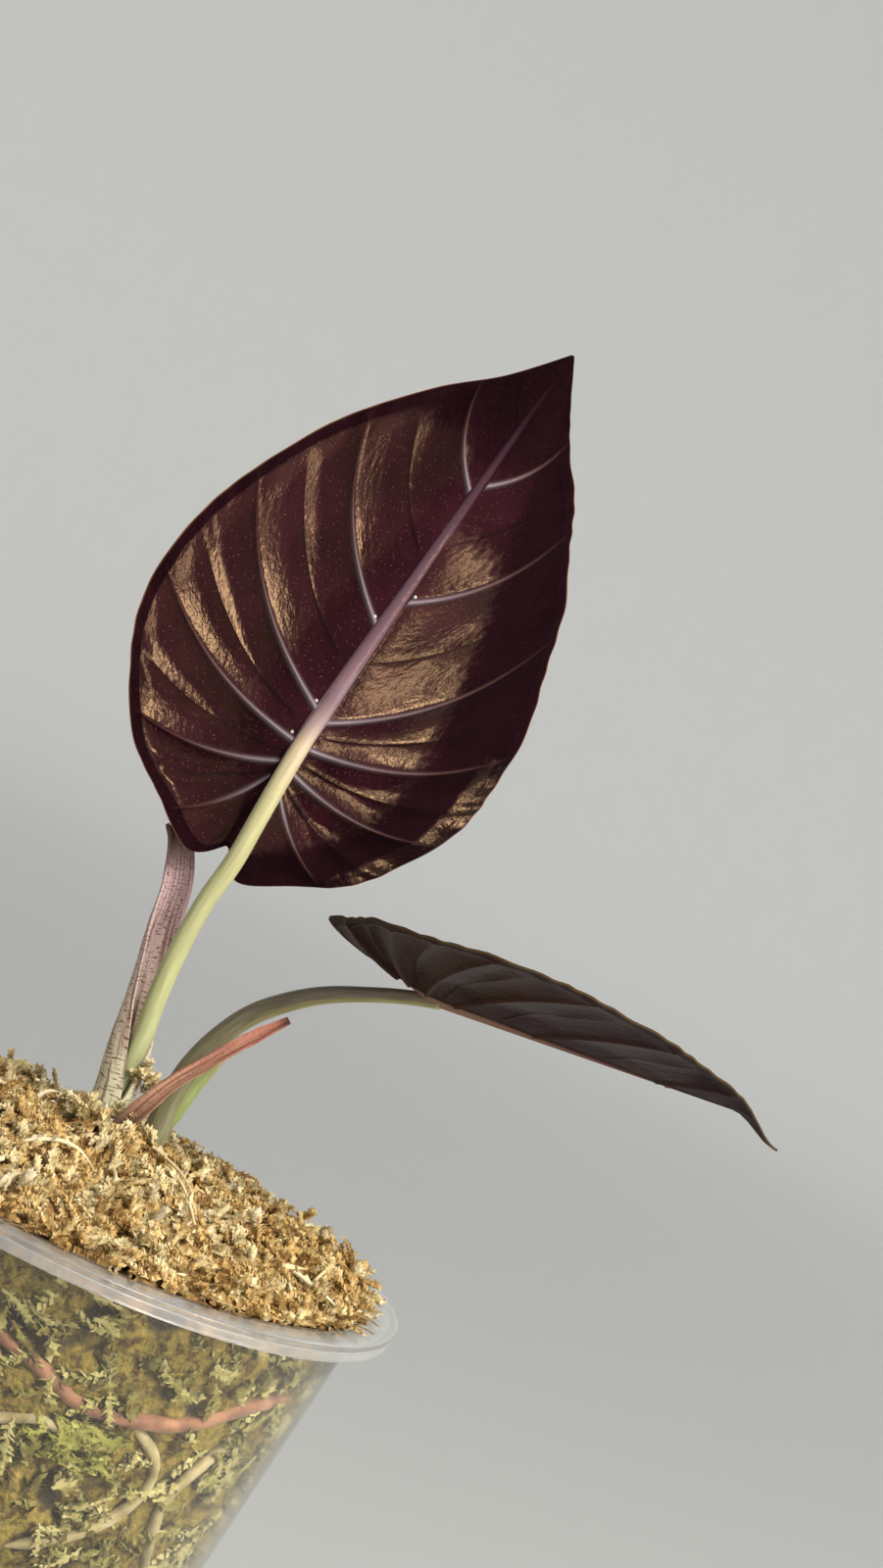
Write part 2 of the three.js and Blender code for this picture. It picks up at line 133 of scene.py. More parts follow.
def turned(profile, segments):
    """Points and faces of a profile of radii and heights, turned round the upright axis"""
    angles = np.linspace(0, 2 * math.pi, segments, endpoint=False)
    radii, heights = np.array(profile).T
    rings = np.stack([
        radii[:, None] * np.cos(angles),
        radii[:, None] * np.sin(angles),
        np.repeat(heights[:, None], segments, 1),
    ], 2)
    return rings.reshape(-1, 3), tube_faces(len(profile), segments).tolist()


floor_radius = 1.2
bend_radius = 0.8
wall_top = 2.4
floor_drop = 0.2 * mm
painted_shade_pool = 0.2
bend_angles = np.linspace(0, math.pi / 2, 13)
floor_profile = [(1 * mm, -floor_drop)]
for angle in bend_angles:
    floor_profile.append((
        floor_radius + bend_radius * math.sin(angle), bend_radius * (1 - math.cos(angle)) - floor_drop,
    ))
floor_profile.append((floor_radius + bend_radius, wall_top))

# Matt wall paint: no gloss. It is a mid grey under the plant that pales outwards: a painted pool of shade round
# the plant, so that the plant stands out.
matt_paint = new_material("matt_paint")
distance_out = add_node(matt_paint, "VectorMath", {"operation": "LENGTH"}, {
    "Vector": add_node(matt_paint, "TexCoord").outputs["Object"],
})
out_share = add_node(matt_paint, "MapRange", {"interpolation_type": "SMOOTHSTEP"}, {
    "Value": distance_out, "From Min": painted_shade_pool, "From Max": floor_radius + bend_radius / 2,
})
paint = add_node(matt_paint, "ValToRGB", inputs={"Fac": out_share}, stops=[
    (0, "#b2b3b2"), (0.5, "#cdcecd"), (1, "#e4e5e4"),
])
finish_with(matt_paint, add_node(matt_paint, "BsdfPrincipled", inputs={
    "Base Color": paint, "Roughness": 0.9, "Specular IOR Level": 0.2,
}))
studio_floor = add_piece("studio_floor", *turned(floor_profile, 96), [matt_paint])

room_brightness = 0.62
room = bpy.data.worlds.new("room")
room.use_nodes = True
room_light = room.node_tree.nodes["Background"]
room_light.inputs["Color"].default_value = linear("#f2f4f6")
room_light.inputs["Strength"].default_value = room_brightness
bpy.context.scene.world = room


plant_middle = Vector((0.01, 0, 0.13))


def add_light(name, place, width, height, watts, colour):
    """A soft panel that faces the middle of the plant"""
    data = bpy.data.lights.new(name, "AREA")
    data.shape = "RECTANGLE"
    data.size, data.size_y = width, height
    data.energy = watts
    data.color = linear(colour)[:3]
    light = bpy.data.objects.new(name, data)
    light.location = place
    light.rotation_euler = (plant_middle - Vector(place)).to_track_quat("-Z", "Y").to_euler()
    light.visible_camera = False
    bpy.context.scene.collection.objects.link(light)


add_light("window", (0.5, -0.68, 0.86), 0.28, 0.34, 14, "#fffaf2")
add_light("second_window", (0.93, -0.6, 0.4), 0.26, 0.44, 7, "#fffaf2")


# Cup: a thin clear polypropylene beaker, injection moulded in one piece. Its flat flange has a lip that turns
# down. The wall is clear with a slight haze, and the thick flange looks milky and shows fine flow lines.
rim_radius = 47.5 * mm
cup_height = 82 * mm
wall_taper = math.tan(math.radians(7))
wall_thickness = 0.8 * mm
flange_overhang = 4.4 * mm
flange_thickness = 1 * mm
lip_drop = 2.3 * mm
lip_thickness = 1 * mm
edge_round = 0.3 * mm
floor_thickness = 1.2 * mm
base_groove_inner = 23 * mm
base_groove_outer = 27 * mm
base_groove_depth = 0.6 * mm


def wall_radius(z, inset=0):
    """Radius of the cup's wall at a height, taken in from its outside"""
    return rim_radius - flange_overhang - (cup_height - z) * wall_taper - inset


def rounded(corners, radius, steps=4):
    """A profile with each inner corner replaced by a short curve"""
    path = [np.array(corners[0])]
    for before, corner, after in zip(corners, corners[1:], corners[2:]):
        before, corner, after = map(np.array, (before, corner, after))
        reach_in = min(radius, np.linalg.norm(before - corner) / 2)
        reach_out = min(radius, np.linalg.norm(after - corner) / 2)
        start = corner + (before - corner) / np.linalg.norm(before - corner) * reach_in
        end = corner + (after - corner) / np.linalg.norm(after - corner) * reach_out
        for t in np.linspace(0, 1, steps + 1):
            path.append((1 - t) ** 2 * start + 2 * t * (1 - t) * corner + t ** 2 * end)
    return path + [np.array(corners[-1])]


pinhole = 0.01 * mm
wall_heights = np.linspace(0.12, 0.9, 8) * cup_height
outer_profile = [
    (pinhole, 0),
    (base_groove_inner, 0),
    (base_groove_inner + base_groove_depth, base_groove_depth),
    (base_groove_outer - base_groove_depth, base_groove_depth),
    (base_groove_outer, 0),
    (wall_radius(0) - edge_round, 0),
    *[(wall_radius(z), z) for z in wall_heights],
    (wall_radius(cup_height - flange_thickness), cup_height - flange_thickness),
    (rim_radius - lip_thickness, cup_height - flange_thickness),
    (rim_radius - lip_thickness, cup_height - lip_drop),
    (rim_radius, cup_height - lip_drop),
    (rim_radius, cup_height),
    (wall_radius(cup_height, wall_thickness) + edge_round, cup_height),
    *[(wall_radius(z, wall_thickness), z) for z in wall_heights[::-1]],
    (wall_radius(floor_thickness, wall_thickness) - edge_round, floor_thickness),
    (pinhole, floor_thickness),
]


def moulded_polypropylene(name, colour, grain, detail, varied, low, high, fixed, shadow_colour):
    """See-through plastic. One of its inputs wanders between two values, and light falls through it"""
    material = new_material(name)
    place = add_node(material, "TexCoord").outputs["Object"]
    flow = add_node(material, "TexNoise", inputs={"Vector": place, "Scale": 1 / grain, "Detail": detail})
    body = add_node(material, "BsdfPrincipled", inputs={
        "Base Color": linear(colour),
        "IOR": 1.49,
        varied: add_node(material, "MapRange", inputs={"Value": flow, "To Min": low, "To Max": high}),
        **fixed,
    })
    passing = add_node(material, "BsdfTransparent", inputs={"Color": linear(shadow_colour)})
    shadow_ray = add_node(material, "LightPath").outputs["Is Shadow Ray"]
    mixed = add_node(material, "MixShader", inputs={"Fac": shadow_ray, 1: body, 2: passing})
    return finish_with(material, mixed)


# The wall is glass-clear, with a faint yellow tint from the damp behind it and a soft haze in its gloss. Real
# haze is too fine to show, so its grain is drawn at 0.6 mm.
clear_polypropylene = moulded_polypropylene(
    "clear_moulded_polypropylene", "#f7f2e4", 0.6 * mm, 3,
    "Roughness", 0.05, 0.12, {"Transmission Weight": 1}, "#f2f2ee")
# The flange is thick to look through, so that it is a little cloudy, with streaks where the plastic flowed.
milky_polypropylene = moulded_polypropylene(
    "milky_moulded_polypropylene", "#f4f5f5", 1.5 * mm, 4,
    "Transmission Weight", 0.84, 0.95, {"Roughness": 0.2}, "#d4d4d2")

cup_sides = 160
welded = 0.001 * mm
cup = add_piece("clear_cup", *turned(rounded(outer_profile, edge_round), cup_sides),
                [clear_polypropylene, milky_polypropylene])
cup_mesh = bmesh.new()
cup_mesh.from_mesh(cup.data)
bmesh.ops.remove_doubles(cup_mesh, verts=cup_mesh.verts, dist=welded)
bmesh.ops.holes_fill(cup_mesh, edges=cup_mesh.edges)
for face in cup_mesh.faces:
    middle = face.calc_center_median()
    outside_wall = math.hypot(middle.x, middle.y) > wall_radius(cup_height) + edge_round
    face.material_index = 1 if outside_wall else 0
cup_mesh.to_mesh(cup.data)
cup_mesh.free()
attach(cup, "root")
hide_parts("cup")


# Moss: long-fibre sphagnum, soaked, stuffed round the roots and mounded over the rim. Each strand is a soft
# stem a millimetre thick, covered with small pointed leaves. It has dried to cream and tan on top, and it is
# wet, olive and brown with dark gaps behind the wall.
moss_gap = 0.3 * mm
moss_crown = 6 * mm
moss_shoulder = 1.2 * mm
moss_heaps = [(1, -1, 3.2, 9), (33, 3, 3.4, 10)]
lump_height = 0.45 * mm
lump_waves = 6
lump_length = (9, 20)
moss_seed = 11
mat_depth = 1.9 * mm
hollow_x, hollow_y, hollow_spread = -9 * mm, 36 * mm, 9 * mm
hollow_depth = 3.4 * mm
moss_edge_radius = wall_radius(cup_height - moss_shoulder, wall_thickness + moss_gap)


def lump_numbers(seed):
    """The same repeatable numbers between 0 and 1 that shape the lumps of the solid moss"""
    state = seed
    while True:
        state = (state * 1664525 + 1013904223) % 4294967296
        yield state / 4294967296


lump_source = lump_numbers(moss_seed)
lumps = []
for wave in range(lump_waves):
    heading = next(lump_source) * math.pi
    length = (lump_length[0] + (lump_length[1] - lump_length[0]) * next(lump_source)) * mm
    lumps.append((math.cos(heading) / length, math.sin(heading) / length, next(lump_source) * 2 * math.pi))


def moss_top(x, y):
    """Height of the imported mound. It lies below the mat of loose strands, and has a hollow at the far left"""
    share = np.minimum(np.hypot(x, y) / moss_edge_radius, 1)
    lump = sum(np.sin(2 * math.pi * (x * wave_x + y * wave_y) + phase) for wave_x, wave_y, phase in lumps)
    heaped = sum(
        height * mm * np.exp(-((x - at_x * mm) / (spread * mm)) ** 2 - ((y - at_y * mm) / (spread * mm)) ** 2)
        for at_x, at_y, height, spread in moss_heaps
    )
    solid_top = cup_height + moss_crown * (1 - share ** 2) + (heaped + lump_height * lump) * (1 - share ** 6)
    far_hollow = np.exp(-((x - hollow_x) / hollow_spread) ** 2 - ((y - hollow_y) / hollow_spread) ** 2)
    return solid_top - (mat_depth + hollow_depth * far_hollow) * (1 - share ** 8)


moss_sides = 200
wall_rows = 70
top_rows = 60
wall_depth = 0.9 * mm
pocket_size = 4 * mm
pocket_depth = 1.2 * mm
# Noise at these levels leaves the core's top and its wall where they are. Higher noise lifts them, and the
# wall swells by no more than the bulge, so that it doesn't cut the plastic.
top_level = 0.5
wall_level = 0.45
wall_bulge = 0.3
wall_zs = np.linspace(floor_thickness + moss_gap, cup_height - moss_shoulder, wall_rows)
moss_profile = [(pinhole, floor_thickness + moss_gap)]
moss_profile += [(wall_radius(z, wall_thickness + wall_depth), z) for z in wall_zs]
moss_profile += [(moss_edge_radius * (1 - k / top_rows) + pinhole, cup_height) for k in range(top_rows + 1)]
moss_points, moss_faces = turned(moss_profile, moss_sides)
on_top = moss_points[:, 2] > cup_height - 0.1 * mm
moss_points[on_top, 2] = moss_top(moss_points[on_top, 0], moss_points[on_top, 1])
pockets = []
for index, point in enumerate(moss_points):
    pocket = noise.noise(Vector(point) / pocket_size) + 0.5 * noise.noise(Vector(point) * 2.1 / pocket_size)
    pockets.append(pocket)
    if on_top[index]:
        point[2] += pocket_depth * (pocket - top_level)
    else:
        out = pocket_depth * min(pocket - wall_level, wall_bulge)
        point[:2] *= 1 + out / max(math.hypot(point[0], point[1]), 1 * mm)


def core_material(name, stops, pocket_shade_colour):
    """Packed moss: blotches of colour, painted shade in its pockets, with a crumbly surface"""
    material = new_material(name)
    place = add_node(material, "TexCoord").outputs["Object"]
    patches = add_node(material, "TexNoise", inputs={
        "Vector": place, "Scale": 1 / (1.4 * mm), "Detail": 8, "Roughness": 0.65,
    })
    colours = add_node(material, "ValToRGB", inputs={"Fac": patches}, stops=stops)
    # Painted shade: the colour darkens where the core sinks into pockets.
    pocket = add_node(material, "Attribute", {"attribute_name": "pocket"}).outputs["Fac"]
    depth = add_node(material, "MapRange", inputs={"Value": pocket, "From Min": -0.1, "From Max": -0.5})
    pocket_shaded = add_node(material, "Mix", {"data_type": "RGBA"}, {
        "Factor": depth, 6: colours, 7: linear(pocket_shade_colour),
    })
    crumbs = add_node(material, "TexNoise", inputs={"Vector": place, "Scale": 1 / (0.7 * mm), "Detail": 4})
    crumb_bump = add_node(material, "Bump", inputs={"Height": crumbs, "Distance": 0.5 * mm})
    return finish_with(material, add_node(material, "BsdfPrincipled", inputs={
        "Base Color": pocket_shaded, "Roughness": 0.85, "Specular IOR Level": 0.3, "Normal": crumb_bump,
    }))


# Packed moss is crumbly and matt. Soaked, it is blotched brown and olive, with near-black painted shade in its
# pockets.
wet_core = core_material("wet_sphagnum_core", [
    (0.34, "#2e2210"),
    (0.42, "#4e3c1e"),
    (0.48, "#665c2e"),
    (0.54, "#787036"),
    (0.6, "#7c6638"),
    (0.68, "#988452"),
], "#2e2924")
# Dried, as it shows between the loose strands on top, it is tan, with brown painted shade in its hollows.
dry_core = core_material("dry_sphagnum_core", [
    (0.34, "#6b4e2c"), (0.5, "#947042"), (0.66, "#b4945c"),
], "#46301e")
moss_core = add_piece("moss_core", moss_points, moss_faces, [wet_core, dry_core], {"pocket": pockets})
dry_depth = 3 * mm
core_mesh = bmesh.new()
core_mesh.from_mesh(moss_core.data)
bmesh.ops.holes_fill(core_mesh, edges=core_mesh.edges)
for face in core_mesh.faces:
    face.material_index = 1 if face.calc_center_median().z > cup_height - dry_depth else 0
core_mesh.to_mesh(moss_core.data)
core_mesh.free()
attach(moss_core, "root")
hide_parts("moss")


# Leaves spiral round a stem by the golden angle, in radians. They lean out by these angles, their half width
# is this share of their length, and they are cupped a little.
golden_angle = 2.4
leaf_lean = (0.4, 1.2)
leaf_half_width = (0.28, 0.46)
leaf_cup = 0.08
shade_spread = 0.3


def leafy_strands(
        random, feet, headings, climbs, lengths, radii, curls, leaves, leaf_length, steps=5, sides=4):
    """Curled stems with pointed leaves all round, over a flat bed: points, faces and each point's shade"""
    count = len(feet)
    t = np.linspace(0, 1, steps + 1)
    heading = headings[:, None] + curls[:, None] * t
    climb = climbs[:, None] - random.uniform(0, 1.2, count)[:, None] * t
    ahead = np.stack([np.cos(climb) * np.cos(heading), np.cos(climb) * np.sin(heading), np.sin(climb)], 2)
    stride = lengths[:, None, None] / steps
    reached = np.cumsum(ahead[:, :-1], 1) * stride
    middles = feet[:, None] + np.concatenate([np.zeros((count, 1, 3)), reached], 1)
    aside = np.stack([-np.sin(heading), np.cos(heading), np.zeros_like(heading)], 2)
    above = np.cross(ahead, aside)
    thick = radii[:, None] * np.clip(1.15 - t ** 3, 0.2, 1)
    around = np.linspace(0, 2 * math.pi, sides, endpoint=False)
    ring = np.cos(around)[:, None] * aside[:, :, None] + np.sin(around)[:, None] * above[:, :, None]
    stems = middles[:, :, None] + ring * thick[:, :, None, None]
    stem_size = (steps + 1) * sides
    starts = (np.arange(count) * stem_size)[:, None, None]
    faces = (tube_faces(steps + 1, sides)[None] + starts).reshape(-1, 4).tolist()
    first_ring = np.arange(sides)
    last_ring = first_ring + steps * sides
    faces += (first_ring[::-1][None] + starts[:, 0]).tolist() + (last_ring[None] + starts[:, 0]).tolist()

    leaf_at = np.linspace(0.05, 1, leaves)
    step_at = np.minimum((leaf_at * steps).astype(int), steps - 1)
    part = leaf_at * steps - step_at
    base = middles[:, step_at] * (1 - part)[:, None] + middles[:, step_at + 1] * part[:, None]
    turn = golden_angle * np.arange(leaves) + random.uniform(0, 6.3, count)[:, None]
    out = np.cos(turn)[..., None] * aside[:, step_at] + np.sin(turn)[..., None] * above[:, step_at]
    cross = np.cross(ahead[:, step_at], out)
    lean = random.uniform(*leaf_lean, (count, leaves))[..., None]
    grow = out * np.sin(lean) + ahead[:, step_at] * np.cos(lean)
    size = (random.uniform(*leaf_length, (count, leaves)) * mm * (1.1 - 0.4 * leaf_at))[..., None]
    root = base + out * radii[:, None, None] * 0.5
    widest = root + grow * size * 0.4 - out * size * leaf_cup
    half_width = cross * size * random.uniform(*leaf_half_width, (count, leaves))[..., None]
    blades = np.stack([root, widest + half_width, root + grow * size, widest - half_width], 2)
    halves = np.array([(0, 1, 2), (0, 2, 3)])
    leaf_starts = count * stem_size + np.arange(count * leaves)[:, None, None] * 4
    faces += (halves[None] + leaf_starts).reshape(-1, 3).tolist()
    points = np.concatenate([stems.reshape(-1, 3), blades.reshape(-1, 3)])
    shade = random.uniform(0, 1, count)
    leaf_shade = shade[:, None] + random.uniform(-shade_spread, shade_spread, (count, leaves))
    shades = np.concatenate([np.repeat(shade, stem_size), np.repeat(leaf_shade.ravel(), 4)])
    return points, faces, shades


def moss_material(name, stops, fleck):
    """Dull, fibrous sphagnum: its tone changes from strand to strand and every 4 mm, with brown flecks"""
    material = new_material(name)
    tone = add_node(material, "Attribute", {"attribute_name": "shade"}).outputs["Fac"]
    place = add_node(material, "TexCoord").outputs["Object"]
    blotch = add_node(material, "TexNoise", inputs={"Vector": place, "Scale": 1 / (4 * mm), "Detail": 2})
    mixed = add_node(material, "Math", {"operation": "MULTIPLY_ADD"}, {0: tone, 1: 0.36, 2: blotch})
    centred = add_node(material, "Math", {"operation": "SUBTRACT"}, {0: mixed, 1: 0.18})
    tones = add_node(material, "ValToRGB", inputs={"Fac": centred}, stops=stops)
    flecks = add_node(material, "TexNoise", inputs={"Vector": place, "Scale": 1 / (0.8 * mm), "Detail": 3})
    fleck_share = add_node(material, "MapRange", inputs={
        "Value": flecks, "From Min": 0.55, "From Max": 0.75, "To Max": 0.5,
    })
    flecked = add_node(material, "Mix", {"data_type": "RGBA"}, {
        "Factor": fleck_share, 6: tones, 7: linear(fleck),
    })
    return finish_with(material, add_node(material, "BsdfPrincipled", inputs={
        "Base Color": flecked, "Roughness": 0.9, "Specular IOR Level": 0.25,
    }))


# Four states of the same moss: dried to tan, bleached to cream, soaked to olive, and still alive and green.
tan_sphagnum = moss_material("dried_tan_sphagnum", [
    (0.2, "#8f7148"), (0.34, "#b8935a"), (0.46, "#cbab6e"), (0.56, "#d6bd86"), (0.7, "#e4d4a6"),
], "#94703f")
pale_sphagnum = moss_material("bleached_cream_sphagnum", [
    (0.2, "#d0ba84"), (0.5, "#dccca0"), (0.8, "#e6dcc0"),
], "#b8985e")
olive_sphagnum = moss_material("wet_olive_sphagnum", [
    (0.2, "#44381c"), (0.36, "#5e5330"), (0.48, "#6f6c40"), (0.58, "#827f50"), (0.72, "#9c9870"),
], "#5c4a2a")
green_sphagnum = moss_material("living_green_sphagnum", [
    (0.2, "#5a5a2c"), (0.5, "#7c7e42"), (0.8, "#9c9e5e"),
], "#4f4526")

strand_reach = 42.4 * mm
rim_margin = 1.5 * mm
edge_lift = 0.5 * mm
stem_clearance = 3.4 * mm
stem_spots = np.array([(-2.6, 2.6), (5, 2.6), (0.8, -3.2)]) * mm
random = np.random.default_rng(7)


def add_strands(name, material, points, faces, shades):
    """One piece of loose moss, with a tone for every strand"""
    strands = add_piece(name, points, faces, [material], {"shade": shades}, smooth=False)
    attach(strands, "root")


def top_strands(name, material, count, thickness, length, climb, sink, leaves, leaf_length):
    """One layer of strands that follow the mound, keep clear of the stems and end short of the cup's rim"""
    spots = np.empty((0, 2))
    while len(spots) < count:
        distance = strand_reach * np.sqrt(random.uniform(0, 1, count))
        bearing = random.uniform(0, 2 * math.pi, count)
        found = np.stack([distance * np.cos(bearing), distance * np.sin(bearing)], 1)
        clear = np.min(np.linalg.norm(found[:, None] - stem_spots[None], axis=2), 1) > stem_clearance
        spots = np.concatenate([spots, found[clear]])
    spots = spots[:count]
    feet = np.concatenate([spots, random.uniform(*sink, (count, 1)) * mm], 1)
    points, faces, shades = leafy_strands(
        random, feet, random.uniform(0, 2 * math.pi, count), random.uniform(*climb, count),
        random.uniform(*length, count) * mm, random.uniform(*thickness, count) * mm / 2,
        random.uniform(-2.2, 2.2, count), leaves, leaf_length)
    over = np.hypot(points[:, 0], points[:, 1])
    pull = np.minimum(1, (rim_radius - rim_margin) / np.maximum(over, 1 * mm))
    points[:, :2] *= pull[:, None]
    ground = moss_top(points[:, 0], points[:, 1])
    beyond = np.hypot(points[:, 0], points[:, 1]) > moss_edge_radius - edge_lift
    points[:, 2] = np.where(beyond, np.maximum(points[:, 2], edge_lift), points[:, 2]) + ground
    add_strands(name, material, points, faces, shades)


# Each layer has its count, thickness and length in mm, climb in radians, height over the mound in mm, leaves
# on a strand, and their length in mm.
top_strands("moss_bed", tan_sphagnum, 1300, (0.4, 0.7), (2.5, 6), (-0.1, 0.5), (-0.6, 0.3), 44, (0.7, 1.2))
top_strands("moss_crumbs", tan_sphagnum, 1200, (0.4, 0.6), (1.5, 4), (-0.2, 0.9), (0, 1), 44, (0.6, 1.1))
top_strands("moss_loose", tan_sphagnum, 420, (0.4, 0.7), (2, 5.5), (0, 0.7), (0, 1), 44, (0.7, 1.2))
top_strands("moss_tufts", pale_sphagnum, 70, (0.3, 0.5), (1.5, 3), (0.6, 1.4), (0.4, 1), 44, (1, 1.7))
top_strands("moss_stems", pale_sphagnum, 60, (0.6, 0.9), (3, 7), (0.1, 0.6), (0.4, 1.2), 12, (0.6, 1))


# Tufts of cream moss cling to the foot of the old leaf base and to the notch above the bract.
foot_corners = ((-6, -2.2, 88.4), (0.6, -0.2, 90.6))
notch_corners = ((-0.6, -0.4, 94.5), (1.8, 1, 97.6))
tuft_count = 52
notch_count = 12
add_strands("moss_foot_tufts", pale_sphagnum, *leafy_strands(
    random, np.concatenate([
        random.uniform(*foot_corners, (tuft_count - notch_count, 3)),
        random.uniform(*notch_corners, (notch_count, 3)),
    ]) * mm, random.uniform(0, 6.3, tuft_count), random.uniform(0.2, 1.4, tuft_count),
    random.uniform(1.5, 3, tuft_count) * mm, random.uniform(0.15, 0.3, tuft_count) * mm,
    random.uniform(-1.5, 1.5, tuft_count), 44, (0.6, 1.1)))

# Bare moss stems lie on top like fine twigs: foot in mm, heading in degrees, length, radius and curl.
twig_list = np.array([
    (29.5, -10, 1.9, -17, 9, 0.3, 0.3),
    (2, -11, 1.6, -75, 10, 0.26, 0.15),
    (6, -7, 1.6, -30, 10, 0.24, -0.2),
    (-9, -20, 1.5, 15, 11, 0.28, 0.3),
    (16, -16, 1.6, 140, 9, 0.22, 0.2),
    (35, -4, 1.8, -100, 8, 0.22, -0.3),
])
twig_climb = 0.3
twig_points, twig_faces, twig_shades = leafy_strands(
    random, twig_list[:, :3] * mm, np.radians(twig_list[:, 3]), np.full(len(twig_list), twig_climb),
    twig_list[:, 4] * mm, twig_list[:, 5] * mm, twig_list[:, 6], 5, (1, 1.8), steps=10, sides=8)
twig_points[:, 2] += moss_top(twig_points[:, 0], twig_points[:, 1])
add_strands("moss_twigs", pale_sphagnum, twig_points, twig_faces, twig_shades)

# Behind the wall, strands are pressed flat. They hardly touch the plastic. They are paler on the right, towards
# the windows: painted light.
wet_gap = 0.1 * mm
layer_depth = 0.9 * mm
least_depth = 0.02 * mm
painted_light_right = 0.5


def wall_strands(name, material, count, bearings, heights, thickness, length, leaves, leaf_length):
    """Strands laid out flat and then bent round the inside of the wall"""
    low, high = heights
    mean_radius = wall_radius(cup_height / 2)
    feet = np.stack([
        np.radians(random.uniform(*bearings, count)) * mean_radius,
        random.uniform(low, high, count),
        random.uniform(0.1, 0.9, count) * mm,
    ], 1)
    points, faces, shades = leafy_strands(
        random, feet, random.uniform(0, 2 * math.pi, count), random.uniform(-0.15, 0.2, count),
        random.uniform(*length, count) * mm, random.uniform(*thickness, count) * mm / 2,
        random.uniform(-1.6, 1.6, count), leaves, leaf_length)
    bearing = points[:, 0] / mean_radius
    height = np.clip(points[:, 1], low, high)
    depth = np.maximum(layer_depth - points[:, 2], least_depth)
    radius = wall_radius(height, wall_thickness + wet_gap) - depth
    points = np.stack([radius * np.cos(bearing), radius * np.sin(bearing), height], 1)
    # Painted light: strands pale towards the right, where the windows stand.
    add_strands(name, material, points, faces, shades + painted_light_right * np.cos(bearing))


wall_strands("moss_behind_wall", olive_sphagnum, 1850, (0, 360),
             (floor_thickness + 2 * mm, cup_height - 2 * mm), (0.3, 0.7), (2.5, 7), 30, (1, 1.8))
wall_strands("green_moss", green_sphagnum, 70, (-74, -60),
             (56 * mm, 62 * mm), (0.3, 0.6), (2, 5), 30, (0.7, 1.2))


# Stalks: each is a living tube, juicy and smooth, with fine lengthwise lines under a waxy skin. The first is
# yellow-green, and turns pink and then mauve where it becomes the midrib. The second is olive-grey above.
def curve_between(p1, p2, slope1, slope2, w):
    """A point of a smooth curve from p1 to p2, by its slopes at both"""
    return ((2 * p1 - 2 * p2 + slope1 + slope2) * w ** 3
            + (3 * p2 - 3 * p1 - 2 * slope1 - slope2) * w ** 2 + slope1 * w + p1)


def path_points(points, count):
    """Points evenly spaced along a smooth centripetal curve through the given points"""
    points = np.array(points, float) * mm
    padded = np.concatenate([[2 * points[0] - points[1]], points, [2 * points[-1] - points[-2]]])
    fine = []
    for p0, p1, p2, p3 in zip(padded, padded[1:], padded[2:], padded[3:]):
        k0, k1, k2 = (np.linalg.norm(b - a) ** 0.5 for a, b in ((p0, p1), (p1, p2), (p2, p3)))
        slope1 = ((p1 - p0) / k0 - (p2 - p0) / (k0 + k1) + (p2 - p1) / k1) * k1
        slope2 = ((p2 - p1) / k1 - (p3 - p1) / (k1 + k2) + (p3 - p2) / k2) * k1
        fine += [curve_between(p1, p2, slope1, slope2, w) for w in np.linspace(0, 1, 20, endpoint=False)]
    fine = np.array(fine + [points[-1]])
    run = np.concatenate([[0], np.cumsum(np.linalg.norm(np.diff(fine, axis=0), axis=1))])
    even = np.linspace(0, run[-1], count)
    return np.stack([np.interp(even, run, fine[:, axis]) for axis in range(3)], 1), even


def stalk_frame(points, steps, flat_side=None):
    """Middles, sideways and outward directions along a path, and the run along it"""
    middles, run = path_points(points, steps + 1)
    ahead = np.gradient(middles, axis=0)
    ahead /= np.linalg.norm(ahead, axis=1)[:, None]
    across = np.empty_like(ahead)
    side = np.array(flat_side if flat_side is not None else (1, 0, 0), float)
    for index, direction in enumerate(ahead):
        side_here = side - direction * side.dot(direction)
        across[index] = side_here / np.linalg.norm(side_here)
        if flat_side is None:
            side = across[index]
    return middles, across, np.cross(ahead, across), run


def swept(stalk, sections):
    """Points, faces and grain of closed sections (offsets across and through) swept along a stalk"""
    middles, across, through, run = stalk
    count, corners = sections.shape[:2]
    rings = middles[:, None] + across[:, None] * sections[..., :1] + through[:, None] * sections[..., 1:]
    ring = np.arange(corners)
    faces = tube_faces(count, corners).tolist()
    faces += [ring[::-1].tolist(), (ring + (count - 1) * corners).tolist()]
    around = np.cumsum(np.linalg.norm(sections - np.roll(sections, 1, 1), axis=2), 1)
    around = around * np.mean(around[:, -1]) / around[:, -1:]
    grain = np.stack([around / mm, np.repeat(run[:, None], corners, 1) / mm, np.zeros((count, corners))], 2)
    return rings.reshape(-1, 3), faces, grain.reshape(-1, 3)


def spread_out(values, steps):
    """Numbers that change evenly along a list, one for each step of a path"""
    return np.interp(np.linspace(0, 1, steps + 1), np.linspace(0, 1, len(values)), values)


def round_sections(widths, depths, steps, sides, ribs=0, rib_height=0):
    """Oval sections whose width and depth change evenly along a list"""
    width = spread_out(widths, steps) * mm / 2
    depth = spread_out(depths, steps) * mm / 2
    angle = np.linspace(0, 2 * math.pi, sides, endpoint=False)
    ribbed = 1 + rib_height * np.cos(ribs * angle)
    return np.stack([width[:, None] * np.cos(angle) * ribbed, depth[:, None] * np.sin(angle) * ribbed], 2)


